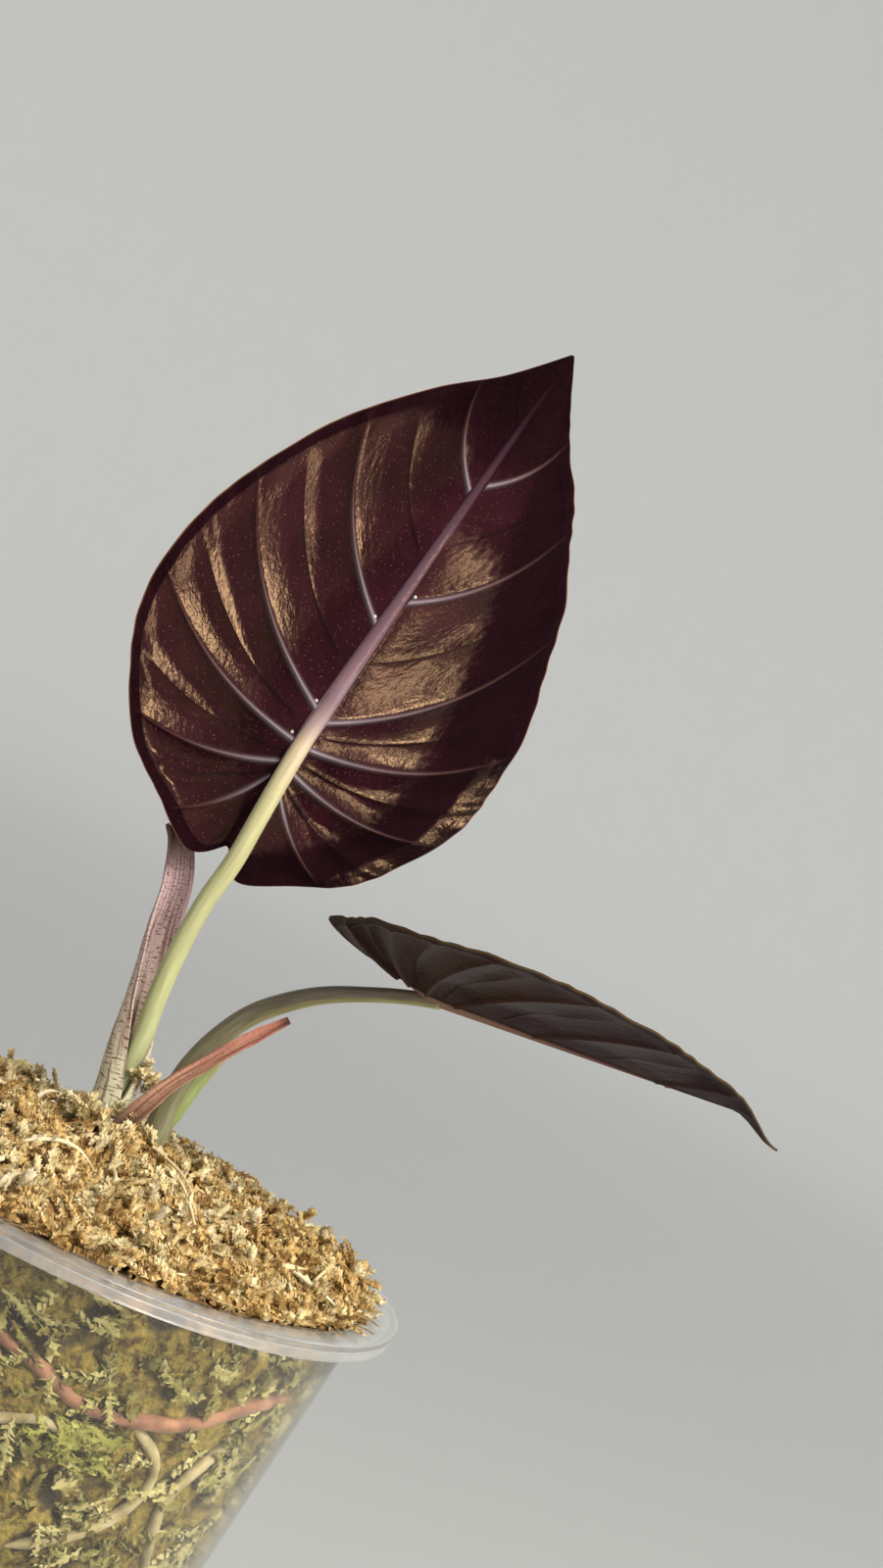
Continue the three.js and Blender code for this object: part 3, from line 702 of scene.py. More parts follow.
def stalk_material(name, stops, skin_roughness, line_strength, under=None, under_share=None):
    """Waxy skin that lets some light in: colour along the stalk and, if asked, underneath, and fine fibres"""
    material = new_material(name)
    along = add_node(material, "Attribute", {"attribute_name": "along"}).outputs["Fac"]
    grain = add_node(material, "Attribute", {"attribute_name": "grain"}).outputs["Vector"]
    skin = add_node(material, "ValToRGB", inputs={"Fac": along}, stops=stops)
    if under:
        upward = add_node(material, "Attribute", {"attribute_name": "upward"}).outputs["Fac"]
        share = add_node(material, "MapRange", inputs={
            "Value": upward,
            "From Min": under_share[0],
            "From Max": under_share[1],
            "To Min": 1,
            "To Max": 0,
        })
        skin = add_node(material, "Mix", {"data_type": "RGBA"}, {"Factor": share, 6: skin, 7: linear(under)})
    # Real fibres are 0.1 mm wide. These are 0.3 mm wide and 5 mm long, or they wouldn't show.
    stretched = add_node(material, "Mapping", inputs={"Vector": grain, "Scale": (3.2, 0.18, 1)})
    fibres = add_node(material, "TexNoise", inputs={"Vector": stretched, "Scale": 1, "Detail": 3})
    fibre_share = add_node(material, "MapRange", inputs={
        "Value": fibres, "From Min": 0.35, "From Max": 0.7, "To Max": line_strength,
    })
    lined = add_node(material, "Mix", {"data_type": "RGBA", "blend_type": "MULTIPLY"}, {
        "Factor": fibre_share, 6: skin, 7: linear("#8c8a78"),
    })
    bump = add_node(material, "Bump", inputs={"Height": fibres, "Strength": 0.35, "Distance": 0.1 * mm})
    return finish_with(material, add_node(material, "BsdfPrincipled", inputs={
        "Base Color": lined,
        "Roughness": skin_roughness,
        "IOR": 1.42,
        "Subsurface Weight": 0.25,
        "Subsurface Radius": (1, 0.8, 0.4),
        "Subsurface Scale": 1 * mm,
        "Normal": bump,
    }))


def add_stalk(name, points, widths, material, nodes, depths=None, flat_side=None, steps=90, sides=28):
    """A round or oval stalk, with its run from 0 to 1 and how far each point faces up"""
    stalk = stalk_frame(points, steps, flat_side)
    sections = round_sections(widths, depths or widths, steps, sides, ribs=9, rib_height=0.012)
    rings, faces, grain = swept(stalk, sections)
    along = np.repeat(np.linspace(0, 1, steps + 1), sides)
    offset = rings.reshape(steps + 1, sides, 3) - stalk[0][:, None]
    upward = (offset[..., 2] / np.linalg.norm(offset, axis=2)).ravel()
    piece = add_piece(name, rings, faces, [material], {"along": along, "upward": upward, "grain": grain})
    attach(piece, "root")
    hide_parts(*nodes)


petiole_main_points = [
    (-2.6, 2.4, 85.9), (-2.5, 2.3, 94), (-2.5, 1.6, 101.1), (-3.2, 1.1, 108.4), (-3.4, 0.7, 115.6),
    (-3, 0.3, 122.8), (-1.9, 0, 129.8), (-1.5, 0.3, 136.8), (-1.1, 1.2, 144), (-0.5, 2.6, 151),
    (0.25, 3.3, 156.3), (0.9, 4.1, 161.2), (1.6, 4.9, 167.1),
]
# The first stalk glows a pale yellow-green like celery, and turns mauve along the leaf.
green_stalk = stalk_material("living_green_stalk", [
    (0, "#b9bf9a"),
    (0.25, "#b0b380"),
    (0.65, "#bab486"),
    (0.76, "#c2ae90"),
    (0.81, "#a18684"),
    (0.86, "#82666e"),
    (1, "#6c525c"),
], 0.42, 0.25)
add_stalk("green_petiole", petiole_main_points,
          [3, 2.9, 2.9, 2.9, 2.9, 2.8, 2.8, 2.7, 2.7, 2.6, 2.3, 1.9, 1.3], green_stalk, ["petiole_main"],
          depths=[3, 2.9, 2.9, 2.9, 2.9, 2.8, 2.8, 2.7, 2.6, 2.2, 1.3, 1, 0.6])

petiole_second_points = [
    (4.6, 2.6, 85.9), (5, 2.8, 91), (4.8, 3, 95.6), (5.4, 3, 101.4), (7.2, 3, 106.8), (9.7, 2.8, 111.2),
    (13, 2, 114.8), (17.5, 1, 118.4), (23.5, 0, 121.6), (28.6, -1, 123.8), (32.6, -1.9, 125.1),
]
# The second is dull olive-brown on top and paler green below, with stronger fibres.
olive_stalk = stalk_material("living_olive_stalk", [
    (0, "#8f8a68"), (0.2, "#7e7a5a"), (0.5, "#746c58"), (0.8, "#786c5e"), (1, "#7a6a54"),
], 0.4, 0.6, "#a9a572", (-0.75, -0.2))
# The wing at its foot is thin, so that it is the freshest green.
green_wing = stalk_material("pale_green_wing", [
    (0, "#8f9a60"), (0.5, "#98a56a"), (1, "#a09c6c"),
], 0.45, 0.5)
add_stalk("petiole_wing", [(5.4, 2.4, 90), (6, 2.3, 95), (6.4, 2.3, 98), (7.6, 2.4, 102), (9, 2.6, 105.5)],
          [1.6, 3, 3.2, 2.6, 1.2], green_wing, ["petiole_second"],
          depths=[0.9, 0.7, 0.6, 0.5, 0.4], flat_side=(1, 0, -0.5), steps=50)
add_stalk("olive_petiole", petiole_second_points, [4, 3.8, 3.6, 3.3, 3.1, 3, 2.8, 2.5, 2.2, 2.1, 2],
          olive_stalk, ["petiole_second"])


# Dry leaf bases: the old sheath is a papery open shell round the first stalk, pink above and green below. The
# bract is a dried salmon-red strip, rolled into a trough, with a dark foot. Both are stiff with long fibres.
fibre_relief = 0.05 * mm
edge_flare, flare_reach = 0.1, 0.05


def shell_sections(widths, depths, openings, facing, thickness, steps, sides=40):
    """Sections of a tube with a slit: the slit's half angle changes evenly along a list and faces one way"""
    place = np.linspace(0, 1, steps + 1)
    width = spread_out(widths, steps)[:, None] * mm / 2
    depth = spread_out(depths, steps)[:, None] * mm / 2
    opening = np.radians(spread_out(openings, steps))[:, None]
    u = np.linspace(0, 1, sides)[None]
    angle = math.radians(facing) + opening + (2 * math.pi - 2 * opening) * u
    fibre = fibre_relief * np.sin(31 * angle) * np.sin(13 * angle + 9 * place[:, None])
    flare = 1 + edge_flare * (np.exp(-u / flare_reach) + np.exp(-(1 - u) / flare_reach))
    wall = thickness * mm * np.minimum(1, 1.2 - place[:, None] * 0.6)
    outer = np.stack([(width * flare + fibre) * np.cos(angle), (depth * flare + fibre) * np.sin(angle)], 2)
    inner_width, inner_depth = (np.maximum(size * flare - wall, size * 0.3) for size in (width, depth))
    inner = np.stack([inner_width * np.cos(angle), inner_depth * np.sin(angle)], 2)
    return np.concatenate([outer, inner[:, ::-1]], 1)


def dry_material(name, stops, streak, dash_share, roughness):
    """Dull, stiff and papery: colour along it, long darker fibres, and short dark dashes across them"""
    material = new_material(name)
    along = add_node(material, "Attribute", {"attribute_name": "along"}).outputs["Fac"]
    grain = add_node(material, "Attribute", {"attribute_name": "grain"}).outputs["Vector"]
    surface = add_node(material, "ValToRGB", inputs={"Fac": along}, stops=stops)
    # Real fibres are 0.1 mm wide: these are 0.4 mm wide and 12 mm long. Dashes are 1.1 mm by 0.3 mm.
    fibres, dashes = ((2.6, 0.08, 1), 0.49, 0.62, 0.75), ((0.9, 3.6, 1), 0.57, 0.61, dash_share)
    marks = []
    for scale, low, high, top in (fibres, dashes):
        stretched = add_node(material, "Mapping", inputs={"Vector": grain, "Scale": scale})
        marks.append(add_node(material, "TexNoise", inputs={"Vector": stretched, "Scale": 1, "Detail": 3}))
        share = add_node(material, "MapRange", inputs={
            "Value": marks[-1], "From Min": low, "From Max": high, "To Max": top,
        })
        surface = add_node(material, "Mix", {"data_type": "RGBA"}, {
            "Factor": share, 6: surface, 7: linear(streak),
        })
    bump = add_node(material, "Bump", inputs={"Height": marks[0], "Strength": 0.7, "Distance": 0.15 * mm})
    return finish_with(material, add_node(material, "BsdfPrincipled", inputs={
        "Base Color": surface, "Roughness": roughness, "Specular IOR Level": 0.35, "Normal": bump,
    }))


def add_shell(name, points, sections, material, node, flat_side, steps):
    """A slit tube along a path, with its run from 0 to 1"""
    rings, faces, grain = swept(stalk_frame(points, steps, flat_side), sections)
    along = np.repeat(np.linspace(0, 1, steps + 1), sections.shape[1])
    piece = add_piece(name, rings, faces, [material], {"along": along, "grain": grain})
    piece.data.set_sharp_from_angle(angle=math.radians(50))
    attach(piece, "root")
    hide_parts(node)


sheath_points = [(-2.9, 3, 85.9), (-2.7, 2.9, 92.6), (-3.6, 3, 99.2), (-5.4, 4.3, 108.8), (-7, 5.6, 116),
                 (-8.3, 7, 123.2), (-10.6, 8.4, 128.2), (-12.4, 9.4, 130.2)]
sheath_steps = 120
sheath_sections = shell_sections([6, 6, 6.3, 5.4, 4.8, 4.4, 4.2, 3], [6, 6, 6, 5, 4.2, 3.2, 2.2, 1.4],
                                 [0.5, 2, 26, 52, 66, 80, 85, 70], -62, 0.45, sheath_steps)
# Dried to a matt, dusty pink paper, still greenish at the foot and almost black at the shrivelled tip.
papery_sheath = dry_material("papery_old_sheath", [
    (0, "#d2d6b0"),
    (0.2, "#dad4b4"),
    (0.38, "#d6c2ae"),
    (0.55, "#d4bbb4"),
    (0.85, "#c2a4a6"),
    (0.96, "#6e5450"),
    (1, "#352622"),
], "#6e443c", 0.9, 0.6)
add_shell("papery_sheath", sheath_points, sheath_sections, papery_sheath, "old_sheath",
          (1, 0, 0), sheath_steps)

bract_points = [(0.6, -2.6, 85.9), (0.7, -3.2, 90), (2.6, -4, 95.4), (4.6, -4.3, 99.6), (7, -4.4, 103.2),
                (9.6, -4.4, 107), (12.2, -4.4, 110.4), (14.9, -4.4, 113.9)]
bract_steps = 90
bract_sections = shell_sections([3, 3, 2.7, 2.3, 2.1, 2, 1.8, 1], [2, 1.6, 1.4, 1.3, 1.2, 1.1, 0.9, 0.4],
                                [70, 80, 88, 92, 90, 84, 70, 60], -125, 0.35, bract_steps)
# Dried to a dull salmon-red strip, dark brown at both ends.
salmon_bract = dry_material("dried_salmon_bract", [
    (0, "#3f2a2a"),
    (0.16, "#7d604e"),
    (0.32, "#b68c72"),
    (0.6, "#c28d76"),
    (0.93, "#b0725e"),
    (1, "#4a2a24"),
], "#63392c", 0.5, 0.55)
add_shell("salmon_bract", bract_points, bract_sections, salmon_bract, "cataphyll",
          (1, 0, -0.5), bract_steps)


# Roots: living aroid roots, a pink one and three thin cream ones, covered with fine velvet. They leave the
# corky underground stem and run along the inside of the cup's wall, where they press into the moss.
def root_material(name, stops):
    """Root skin: blotched along its length, and soft to the eye because of a fine velvety grain"""
    material = new_material(name)
    place = add_node(material, "TexCoord").outputs["Object"]
    blotches = add_node(material, "TexNoise", inputs={"Vector": place, "Scale": 1 / (3 * mm), "Detail": 3})
    colours = add_node(material, "ValToRGB", inputs={"Fac": blotches}, stops=stops)
    # Root hairs are far finer than a pixel, so the velvet is drawn with a grain of 0.25 mm.
    velvet = add_node(material, "TexNoise", inputs={"Vector": place, "Scale": 1 / (0.25 * mm), "Detail": 3})
    bump = add_node(material, "Bump", inputs={"Height": velvet, "Strength": 0.6, "Distance": 0.1 * mm})
    return finish_with(material, add_node(material, "BsdfPrincipled", inputs={
        "Base Color": colours, "Roughness": 0.7, "Sheen Weight": 0.2, "Normal": bump,
    }))


# Wet roots look dark and warm through the wall: one pink-brown, three dull cream. The rhizome is corky brown.
pink_root = root_material("velvety_pink_root", [(0.35, "#5a3a2e"), (0.5, "#744e3e"), (0.68, "#8c6854")])
cream_root = root_material("velvety_cream_root", [(0.35, "#6f674a"), (0.5, "#867d60"), (0.68, "#9c947a")])
corky_skin = root_material("corky_rhizome_skin", [(0.35, "#4a3524"), (0.5, "#6b4f35"), (0.68, "#8a6a48")])
for skin_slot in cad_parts["rhizome"].material_slots:
    skin_slot.material = corky_skin

root_gap = 0.3 * mm
root_steps = 160
root_start = (0.5, 1)
root_routes = {
    "root_pink": (1, 78, pink_root, [
        (-101, 75, 24), (-101, 72.5, 9), (-97, 69.5, 1.2), (-88, 68, 0), (-80, 66.5, 0), (-70, 64, 0),
        (-58, 64.2, 0), (-47, 65.4, 0), (-35, 69, 0), (-20, 70, 0),
    ]),
    "root_cream_a": (0.75, 74, cream_root, [
        (-124, 71.5, 24), (-124, 67, 9), (-116, 61.5, 1.2), (-106, 58.6, 0), (-96, 57.5, 0), (-84, 58.2, 0),
        (-75, 60.4, 0), (-64, 58.6, 0),
    ]),
    "root_cream_b": (0.75, 74.5, cream_root, [
        (-64, 72.5, 24), (-64, 69, 9), (-58, 63.5, 1.6), (-51, 60, 0), (-48.5, 56, 0), (-51, 51.5, 0),
        (-58, 47, 0), (-70, 43, 0),
    ]),
    "root_cream_c": (0.75, 73, cream_root, [
        (-24, 71, 24), (-24, 66, 9), (-30, 63.5, 1.6), (-38, 60, 0), (-42, 54.5, 0), (-38, 46, 0),
        (-28, 38, 0),
    ]),
}
for node, (radius, start_height, skin, route) in root_routes.items():
    path = [(*root_start, start_height)]
    for bearing, height, inset in route:
        out = wall_radius(height * mm, wall_thickness + root_gap) / mm - radius - inset
        path.append((out * math.cos(math.radians(bearing)), out * math.sin(math.radians(bearing)), height))
    girth = [2 * radius * (1 + 0.1 * math.sin(1.7 * k + radius * 9)) for k in range(24)] + [radius * 0.5]
    tube = swept(stalk_frame(path, root_steps, (0, 0.1, 1)), round_sections(girth, girth, root_steps, 14))
    root = add_piece("living_" + node, tube[0], tube[1], [skin])
    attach(root, "root")
    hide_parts(node)


# Leaves: thin leathery blades, folded up along a thick midrib, with the main veins raised below and the
# blade quilted between them. They are near-black maroon, with a satin skin whose gloss is golden.
# Lengths are in mm, on the flat plan of the big leaf.
outline_angles = np.radians([-90, -80, -60, -40, -20, 0, 20, 40, 60, 75, 84, 90])
outline_radii = np.array([20.3, 24.3, 23.2, 24.3, 25.8, 28.5, 31.7, 35.8, 43, 50.8, 56.8, 64.4])
outline = np.stack([np.cos(outline_angles), np.sin(outline_angles)], 1) * outline_radii[:, None]
vein_starts = {-1: [-20.3, -9, -6.5, -3.1, 2.4, 17, 40, 64.4], 1: [-20.3, -10, -7, -3, 1.5, 22, 42, 64.4]}
vein_ends = {-1: [0, 1.8, 3.6, 5.75, 7.25, 8.4, 9.67, 11], 1: [0, 2.55, 4.7, 6.3, 7.65, 8.67, 9.78, 11]}
vein_sag = 0.18
tip_reach = 64.4
midrib_half_width = 1.2
blade_thickness = 0.55
edge_thinning = 0.45
last_vein = 7
notch_clearance = 0.03
narrow_row = 14
fold_rounding = 3
curled_tip = 10
gutter_width = 11
vein_width, vein_narrowing = 0.46, 0.28
vein_height, vein_lowering = 0.5, 0.38
branch_width, branch_height = 0.3, 0.12
margin_line_inset, margin_line_width, margin_line_height = 2.1, 0.25, 0.12
midrib_height = 0.95
ladder_pitch, ladder_height, ladder_distance, ladder_reach = 1.1, 0.07, 0.9, 0.8
crinkles_per_vein = 3.3


def outline_at(place):
    """A point of the leaf's outline, from 0 at the notch to 11 at the tip"""
    last = len(outline) - 1
    first = np.clip(np.floor(place).astype(int), 0, last)
    w = (place - first)[:, None]
    p0, p1 = outline[np.maximum(first - 1, 0)], outline[first]
    p2, p3 = outline[np.minimum(first + 1, last)], outline[np.minimum(first + 2, last)]
    return curve_between(p1, p2, (p2 - p0) / 2, (p3 - p1) / 2, w)


def vein_lines(side, veins, shares):
    """A grid of points: one row along each vein number, from the midrib to the margin"""
    start = np.interp(veins, range(last_vein + 1), vein_starts[side])
    foot = np.stack([midrib_half_width * np.sqrt(np.maximum(0, 1 - np.abs(start) / tip_reach)), start], 1)
    end = outline_at(np.interp(veins, range(last_vein + 1), vein_ends[side]))
    chord = end - foot
    bend = (foot + end) / 2 + np.stack([chord[:, 1], -chord[:, 0]], 1) * vein_sag
    s = shares[None, :, None]
    line = (1 - s) ** 2 * foot[:, None] + 2 * s * (1 - s) * bend[:, None] + s ** 2 * end[:, None]
    return line * np.array([side, 1])


def smoothstep(value, low, high):
    """A soft step from 0 to 1 between two values"""
    share = np.clip((value - low) / (high - low), 0, 1)
    return share * share * (3 - 2 * share)


def blade_grid(leaf, columns=60):
    """Positions on the blade's flat plan in mm, its rise towards the underside, and what each point carries.
    Rows are crowded near the veins and halfway between them, and columns near the midrib and the margin"""
    t = np.linspace(0, 1, leaf["rows"], endpoint=False)
    crowded = t - 0.8 * np.sin(4 * math.pi * t) / (4 * math.pi)
    veins = np.concatenate([k + crowded for k in range(last_vein)])
    veins = veins[(veins > notch_clearance) & (veins < last_vein - notch_clearance)]
    u = np.linspace(0, 1, columns)
    shares = u - 0.5 * np.sin(2 * math.pi * u) / (2 * math.pi)
    left = vein_lines(-1, veins, shares)
    right = vein_lines(1, veins, shares)
    inner = np.linspace(0, 1, 10)[1:-1]
    bridge = left[:, :1] * (1 - inner)[None, :, None] + right[:, :1] * inner[None, :, None]
    plan = np.concatenate([left[:, ::-1], bridge, right], 1)
    share = np.concatenate([-shares[::-1], np.zeros(len(inner)), shares])
    share = np.broadcast_to(share, plan.shape[:2])
    vein = np.broadcast_to(veins[:, None], plan.shape[:2])
    x, y = plan[..., 0], plan[..., 1]
    away = np.abs(share)
    part = vein - np.floor(vein)

    half_row = np.linalg.norm(plan[:, :1] - plan[:, -1:], axis=2) / 2
    room = np.minimum(1, half_row / narrow_row)
    fold = math.tan(math.radians(leaf["fold"]))
    rise = -fold * (np.hypot(x, fold_rounding) - fold_rounding)
    rise = rise + np.where(y > 0, leaf["arch"] * y ** 2, -leaf["lobe_lift"] * np.abs(y) ** 1.5)
    rise += leaf["tip_curl"] * smoothstep(y, tip_reach - curled_tip, tip_reach)
    rise += leaf["bow"] * room * np.sin(math.pi * away) * np.sign(x)
    between = np.exp(-((part - 0.5) / 0.13) ** 2) * smoothstep(away, 0.25, 0.6)
    sunk = np.sin(math.pi * part) ** 0.8 * (1 - 0.55 * between)
    rise -= leaf["quilt"] * sunk * smoothstep(np.abs(x), 0, gutter_width) * (1 - smoothstep(away, 0.8, 1))
    rise += leaf["wave"] * room * np.sin(2 * math.pi * vein) * away ** 3
    crinkle = np.sin(2 * math.pi * crinkles_per_vein * vein + 2 * np.sin(5 * vein))
    rise += leaf["crinkle"] * room * crinkle * smoothstep(away, 0.8, 1)

    # Relief on the underside: veins, a fine branch between them, a line inside the margin, the midrib, and
    # small rungs beside the veins of the right half.
    spacing = np.linalg.norm(np.gradient(plan, axis=0), axis=2) / np.gradient(vein, axis=0)
    nearest = np.round(vein)
    off_vein = np.abs(vein - nearest) * spacing
    real_vein = (nearest > 0) & (nearest < last_vein)
    vein_mask = np.exp(-(off_vein / (vein_width - vein_narrowing * away)) ** 2) * real_vein
    vein_mask = vein_mask * np.clip((1 - away) * 12, 0, 1) * (away > 0)
    vein_relief = vein_mask * (vein_height - vein_lowering * away)
    off_branch = np.abs(part - 0.5) * spacing
    branch_ends = smoothstep(away, 0, 0.1) * (1 - smoothstep(away, 0.6, 0.85))
    branch_mask = np.exp(-(off_branch / branch_width) ** 2) * branch_ends
    from_midrib = np.maximum(np.linalg.norm(plan - bridge[:, 4:5], axis=2), 1)
    margin_off = (1 - away) * from_midrib / np.maximum(away, 0.05)
    margin_mask = np.exp(-((margin_off - margin_line_inset) / margin_line_width) ** 2) * room
    foot_x = midrib_half_width * np.maximum(0, 1 - np.abs(y) / tip_reach) ** 0.75 + 0.1
    midrib_mask = np.clip(1 - (x / foot_x) ** 2, 0, 1) ** 0.5
    fade = np.where(y < 0, smoothstep(y, -9, 0), 1 - np.abs(y) / tip_reach)
    relief = vein_relief + branch_height * branch_mask + margin_line_height * margin_mask
    relief = np.maximum(relief, midrib_height * midrib_mask * fade)
    run = away * half_row
    ladder = np.sin(2 * math.pi * run / ladder_pitch + 2 * np.sin(vein * 9))
    near_vein = np.exp(-((off_vein - ladder_distance) / ladder_reach) ** 2)
    near_vein = near_vein * smoothstep(away, 0.3, 0.5) * (1 - smoothstep(away, 0.85, 0.95))
    relief = relief + ladder_height * ladder * near_vein * (x > 0)

    # Gloss lies on the left half inside its margin, and on the right beside the midrib and at the low margin.
    # The right half and the tip are darker: painted shade. A band inside the very rim is darker as well.
    lines = np.clip(0.8 * branch_mask + 0.5 * margin_mask, 0, 1)
    inside = smoothstep(margin_off, 1.9, 2.5)
    low_margin = smoothstep(away, 0.8, 0.88) * (1 - smoothstep(y, 4, 16)) * smoothstep(y, -20, -8)
    near_midrib = (1 - smoothstep(away, 0.38, 0.62)) * (1 - smoothstep(y, 28, 40))
    left_gloss = smoothstep(away, 0.12, 0.4) * inside * (1 - smoothstep(y, 40, 50))
    gloss = np.where(x < 0, left_gloss, np.maximum(near_midrib, low_margin))
    painted_shade_and_rim = np.maximum(np.where(x < 0, 0, 0.85 * smoothstep(away, 0.3, 0.65)), 0.8 * smoothstep(y, 34, 52))
    painted_shade_and_rim = np.maximum(painted_shade_and_rim, 0.75 * (1 - inside)) * leaf["painted_shade_strength"]
    return {
        "x": x, "y": y, "rise": rise, "relief": relief, "vein": vein_mask ** 1.5, "lines": lines,
        "midrib": midrib_mask * fade, "gloss": gloss, "painted_shade_and_rim": painted_shade_and_rim,
        "edge": np.maximum(away, leaf["dry_tip"] * smoothstep(y, tip_reach - 5, tip_reach - 2)),
        "to_tip": np.clip(y / tip_reach, 0, 1), "grain": np.stack([off_vein, run, vein], 2),
    }


def leaf_surface(name, lamina, vein_and_highlight_stops, midrib_stops, edge_colour, bronze, golden, dull, glossy):
    """Satin skin over fine wrinkles: a dark lamina with pale specks of painted glint, painted shade in places,
    veins with a painted highlight over them, and gloss in places
    """
    material = new_material(name)
    place = add_node(material, "TexCoord").outputs["Object"]
    grain = add_node(material, "Attribute", {"attribute_name": "grain"}).outputs["Vector"]
    carried = {}
    for mask in ("painted_shade_and_rim", "edge", "vein", "lines", "midrib", "to_tip", "gloss"):
        carried[mask] = add_node(material, "Attribute", {"attribute_name": mask}).outputs["Fac"]
    clouds = add_node(material, "TexNoise", inputs={"Vector": place, "Scale": 1 / (9 * mm), "Detail": 4})
    # Pale specks are painted glints of the skin's fine sparkle. Real ones are smaller and closer. These stand
    # 0.55 mm apart, so that they show.
    painted_glint_cells = add_node(material, "TexVoronoi", inputs={"Vector": place, "Scale": 1 / (0.55 * mm)})
    painted_glint_share = add_node(material, "MapRange", inputs={
        "Value": painted_glint_cells, "From Min": 0.06, "From Max": 0.17, "To Min": 0.6, "To Max": 0,
    })
    midrib_share = add_node(material, "MapRange", inputs={
        "Value": carried["midrib"], "From Min": 0.05, "From Max": 0.35,
    })
    edge_share = add_node(material, "MapRange", inputs={
        "Value": carried["edge"], "From Min": 0.992, "From Max": 1,
    })
    # Vein colour: their own mauve, with a painted pale highlight near the midrib, where the ridges catch the
    # light.
    vein_colour_and_highlight = add_node(material, "ValToRGB", inputs={"Fac": carried["edge"]}, stops=vein_and_highlight_stops)
    midrib_colour = add_node(material, "ValToRGB", inputs={"Fac": carried["to_tip"]}, stops=midrib_stops)
    skin = add_node(material, "ValToRGB", inputs={"Fac": clouds}, stops=lamina)
    # Layers over the lamina: pale specks as painted glints, painted shade on the right half and the tip
    # together with a darker band inside the rim, veins with their painted highlight, fine dark lines, the
    # midrib and the edge.
    layers = (
        (painted_glint_share, linear("#96686c")),
        (carried["painted_shade_and_rim"], linear("#12060a")),
        (carried["vein"], vein_colour_and_highlight),
        (carried["lines"], linear("#12070b")),
        (midrib_share, midrib_colour),
        (edge_share, linear(edge_colour)),
    )
    for share, colour in layers:
        skin = add_node(material, "Mix", {"data_type": "RGBA"}, {"Factor": share, 6: skin, 7: colour})

    # Wrinkles are 0.9 mm apart. The skin's cells are too fine to show, so their grain is drawn at 0.35 mm.
    wrinkles = add_node(material, "TexNoise", inputs={"Vector": grain, "Scale": 1.1, "Detail": 4})
    fine = add_node(material, "TexNoise", inputs={"Vector": place, "Scale": 1 / (0.35 * mm), "Detail": 2})
    feathered = add_node(material, "Math", {"operation": "MULTIPLY_ADD"}, {
        0: wrinkles, 1: 1.2, 2: carried["gloss"],
    })
    gloss_share = add_node(material, "MapRange", inputs={
        "Value": feathered, "From Min": 0.8, "From Max": 1.3,
    })
    roughness = add_node(material, "MapRange", inputs={
        "Value": gloss_share, "To Min": dull, "To Max": glossy,
    })
    wrinkle_bump = add_node(material, "Bump", inputs={
        "Height": wrinkles, "Strength": 0.5, "Distance": 0.25 * mm,
    })
    fine_bump = add_node(material, "Bump", inputs={
        "Height": fine, "Strength": 0.35, "Distance": 0.04 * mm, "Normal": wrinkle_bump,
    })
    # The painted shade darkens the gloss's tint too. Elsewhere the tint turns golden where the skin is glossy.
    tint = linear(bronze)
    for share, colour in ((carried["painted_shade_and_rim"], "#361b20"), (gloss_share, golden)):
        tint = add_node(material, "Mix", {"data_type": "RGBA"}, {"Factor": share, 6: tint, 7: linear(colour)})
    return finish_with(material, add_node(material, "BsdfPrincipled", inputs={
        "Base Color": skin,
        "Roughness": roughness,
        "IOR": 1.5,
        "Specular IOR Level": 0.31,
        "Specular Tint": tint,
        "Normal": fine_bump,
    }))


# Below, the big leaf is dark maroon. Its veins are mauve, with a painted pale highlight near the midrib, and
# its gloss is warm gold.
maroon_underside = leaf_surface(
    "maroon_leaf_underside",
    [(0.3, "#1d080e"), (0.5, "#270c15"), (0.7, "#32121b")],
    [(0, "#887d85"), (0.35, "#766263"), (0.6, "#543a38"), (0.9, "#2e1618")],
    [(0, "#a1868a"), (0.08, "#7e636b"), (0.25, "#654c56"), (0.6, "#46313b"), (1, "#241218")],
    "#7a5236", "#c4907a", "#ffd2a0", 0.92, 0.22)
# Below, the second leaf is a duller brown, with a green-brown edge and an even, soft gloss.
brown_underside = leaf_surface(
    "brown_leaf_underside",
    [(0.3, "#1c0f11"), (0.5, "#281819"), (0.7, "#342322")],
    [(0, "#4a3634"), (0.9, "#3a2827")],
    [(0, "#86695a"), (0.5, "#6c4c46"), (0.9, "#4e3a30"), (1, "#6b5a20")],
    "#463722", "#8c6a60", "#b48878", 0.6, 0.4)
# Above, both are near-black with an even, metallic satin gloss.
black_upperside = leaf_surface(
    "black_leaf_upper_side",
    [(0.3, "#151312"), (0.5, "#1e1817"), (0.7, "#28201e")],
    [(0, "#33282a"), (1, "#241c1c")],
    [(0, "#3a2e2c"), (1, "#2a2120")],
    "#5e4630", "#b8b09a", "#d8d2b8", 0.4, 0.34)


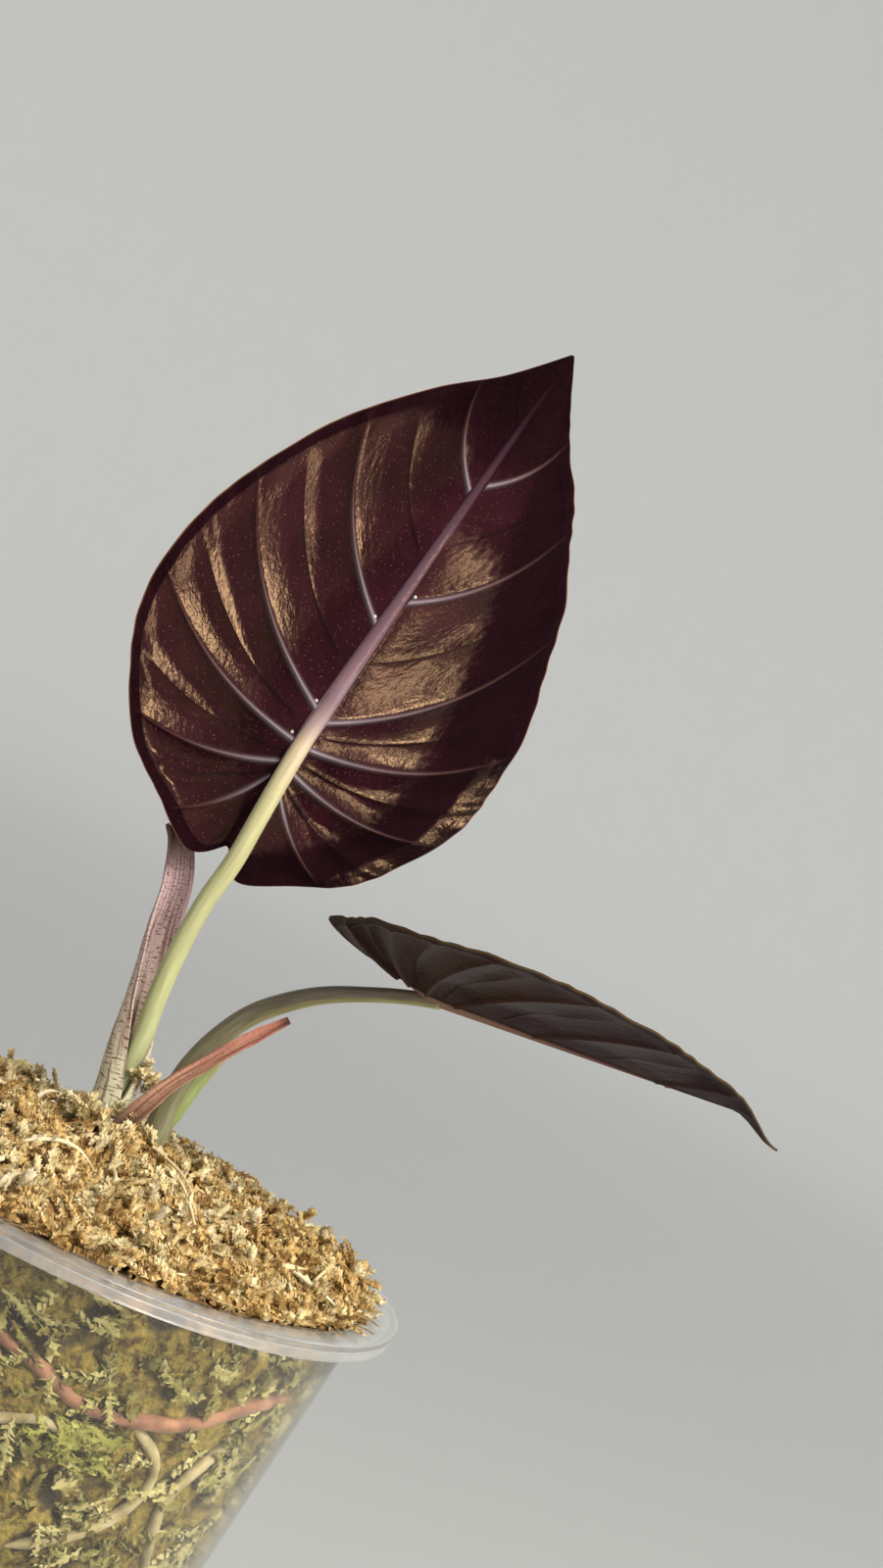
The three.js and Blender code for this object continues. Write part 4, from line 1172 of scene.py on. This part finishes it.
def add_blade(name, leaf, node, under_skin):
    """A closed blade between its under and upper faces, set on its stalk. Gives back the under face"""
    grid = blade_grid(leaf)
    rows, columns = grid["x"].shape
    x, y, rise = (grid[key] * leaf["scale"] for key in ("x", "y", "rise"))
    thin = blade_thickness / 2 * (1 - edge_thinning * grid["edge"] ** 6)
    under = np.stack([x, y, rise + thin + grid["relief"]], 2)
    upper = np.stack([x, y, rise - thin + grid["relief"] / 3], 2)
    lengthwise = Vector(leaf["midrib"]).normalized()
    outward = Vector(leaf["underside"])
    outward = (outward - lengthwise * outward.dot(lengthwise)).normalized()
    across = lengthwise.cross(outward)
    basis = np.array([across, lengthwise, outward])
    points = np.concatenate([under.reshape(-1, 3), upper.reshape(-1, 3)])
    points = (points @ basis + np.array(leaf["attachment"])) * mm
    index = np.arange(rows * columns).reshape(rows, columns)
    size = index.size
    under_faces = np.stack([index[:-1, :-1], index[:-1, 1:], index[1:, 1:], index[1:, :-1]], 2).reshape(-1, 4)
    upper_faces = under_faces[:, ::-1] + size
    rim = np.concatenate([index[:, -1], index[::-1, 0]])
    following = np.roll(rim, -1)
    rim_faces = np.stack([following, rim, rim + size, following + size], 1)
    faces = np.concatenate([under_faces, upper_faces, rim_faces]).tolist()
    ends = (index[0, ::-1], index[-1], index[0] + size, index[-1, ::-1] + size)
    faces += [end.tolist() for end in ends]
    carried_keys = ("vein", "lines", "midrib", "gloss", "painted_shade_and_rim", "edge", "to_tip")
    carried = {key: np.concatenate([grid[key].ravel()] * 2) for key in carried_keys}
    carried["grain"] = np.concatenate([grid["grain"].reshape(-1, 3)] * 2)
    blade = add_piece(name, points, faces, [under_skin, black_upperside], carried)
    slots = np.zeros(len(faces), np.int32)
    slots[len(under_faces):len(under_faces) + len(upper_faces)] = 1
    blade.data.polygons.foreach_set("material_index", slots)
    blade.data.set_sharp_from_angle(angle=math.radians(60))
    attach(blade, "root")
    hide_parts(node)
    return points[:size].reshape(rows, columns, 3), grid, np.array(outward)


main_leaf = {
    "attachment": (-0.6, 3.5, 151.3),
    "midrib": (0.13, 0.105, 0.986),
    "underside": (0.3, -0.95, 0.06),
    "scale": 1,
    "fold": 15,
    "arch": 0.0007,
    "tip_curl": 1,
    "lobe_lift": 0.022,
    "quilt": 1.5,
    "bow": 1.2,
    "wave": 0.6,
    "crinkle": 0.25,
    "dry_tip": 0,
    "painted_shade_strength": 1,
    "rows": 36,
}
second_leaf = {
    "attachment": (32.8, -2, 125.6),
    "midrib": (0.99, -0.05, 0.113),
    "underside": (0.03, -0.1, -0.99),
    "scale": 0.78,
    "fold": 19.5,
    "arch": 0,
    "tip_curl": 4.5,
    "lobe_lift": 0.05,
    "quilt": 1.2,
    "bow": 0,
    "wave": 0.1,
    "crinkle": 0.12,
    "dry_tip": 1,
    "painted_shade_strength": 0.2,
    "rows": 22,
}
underside, leaf_grid, outward = add_blade("big_leaf", main_leaf, "blade_main", maroon_underside)
add_blade("second_leaf", second_leaf, "blade_second", brown_underside)

# Drying sap is a clear, wet-looking drop that clouds a little in patches.
bead_radius = 0.26 * mm
bead_flatness = 0.8
bead_tip = 0.001 * mm
clear_sap = new_material("clear_sap")
sap_flow = add_node(clear_sap, "TexNoise", inputs={"Scale": 1 / (0.5 * mm)})
sap_cloud = add_node(clear_sap, "MapRange", inputs={"Value": sap_flow, "To Min": 0.3, "To Max": 0.6})
finish_with(clear_sap, add_node(clear_sap, "BsdfPrincipled", inputs={
    "Base Color": linear("#f2efe9"), "Roughness": 0.08, "IOR": 1.36, "Transmission Weight": sap_cloud,
}))
bead_profile = [
    (bead_radius * math.sin(a) + bead_tip, bead_radius * bead_flatness * math.cos(a))
    for a in np.linspace(0, 3.1, 12)
]
bead_points, bead_faces = turned(bead_profile, 16)
bead_spots = ((-1.7, 17.9), (-1.9, 3.4), (-2.1, -2.2), (1.6, 23.3))
bead_places = []
for x, y in bead_spots:
    off_spot = np.hypot(leaf_grid["x"] - x, leaf_grid["y"] - y)
    bead_places.append(underside[np.unravel_index(np.argmin(off_spot), off_spot.shape)])
bead_places.append(np.array(sheath_points[-1]) * mm)
turn = np.array(Vector(outward).to_track_quat("Z", "Y").to_matrix())
all_beads = np.concatenate([bead_points @ turn.T + place for place in bead_places])
bead_starts = [len(bead_points) * k for k in range(len(bead_places))]
all_faces = [[start + corner for corner in face] for start in bead_starts for face in bead_faces]
beads = add_piece("sap_beads", all_beads, all_faces, [clear_sap])
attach(beads, "root")
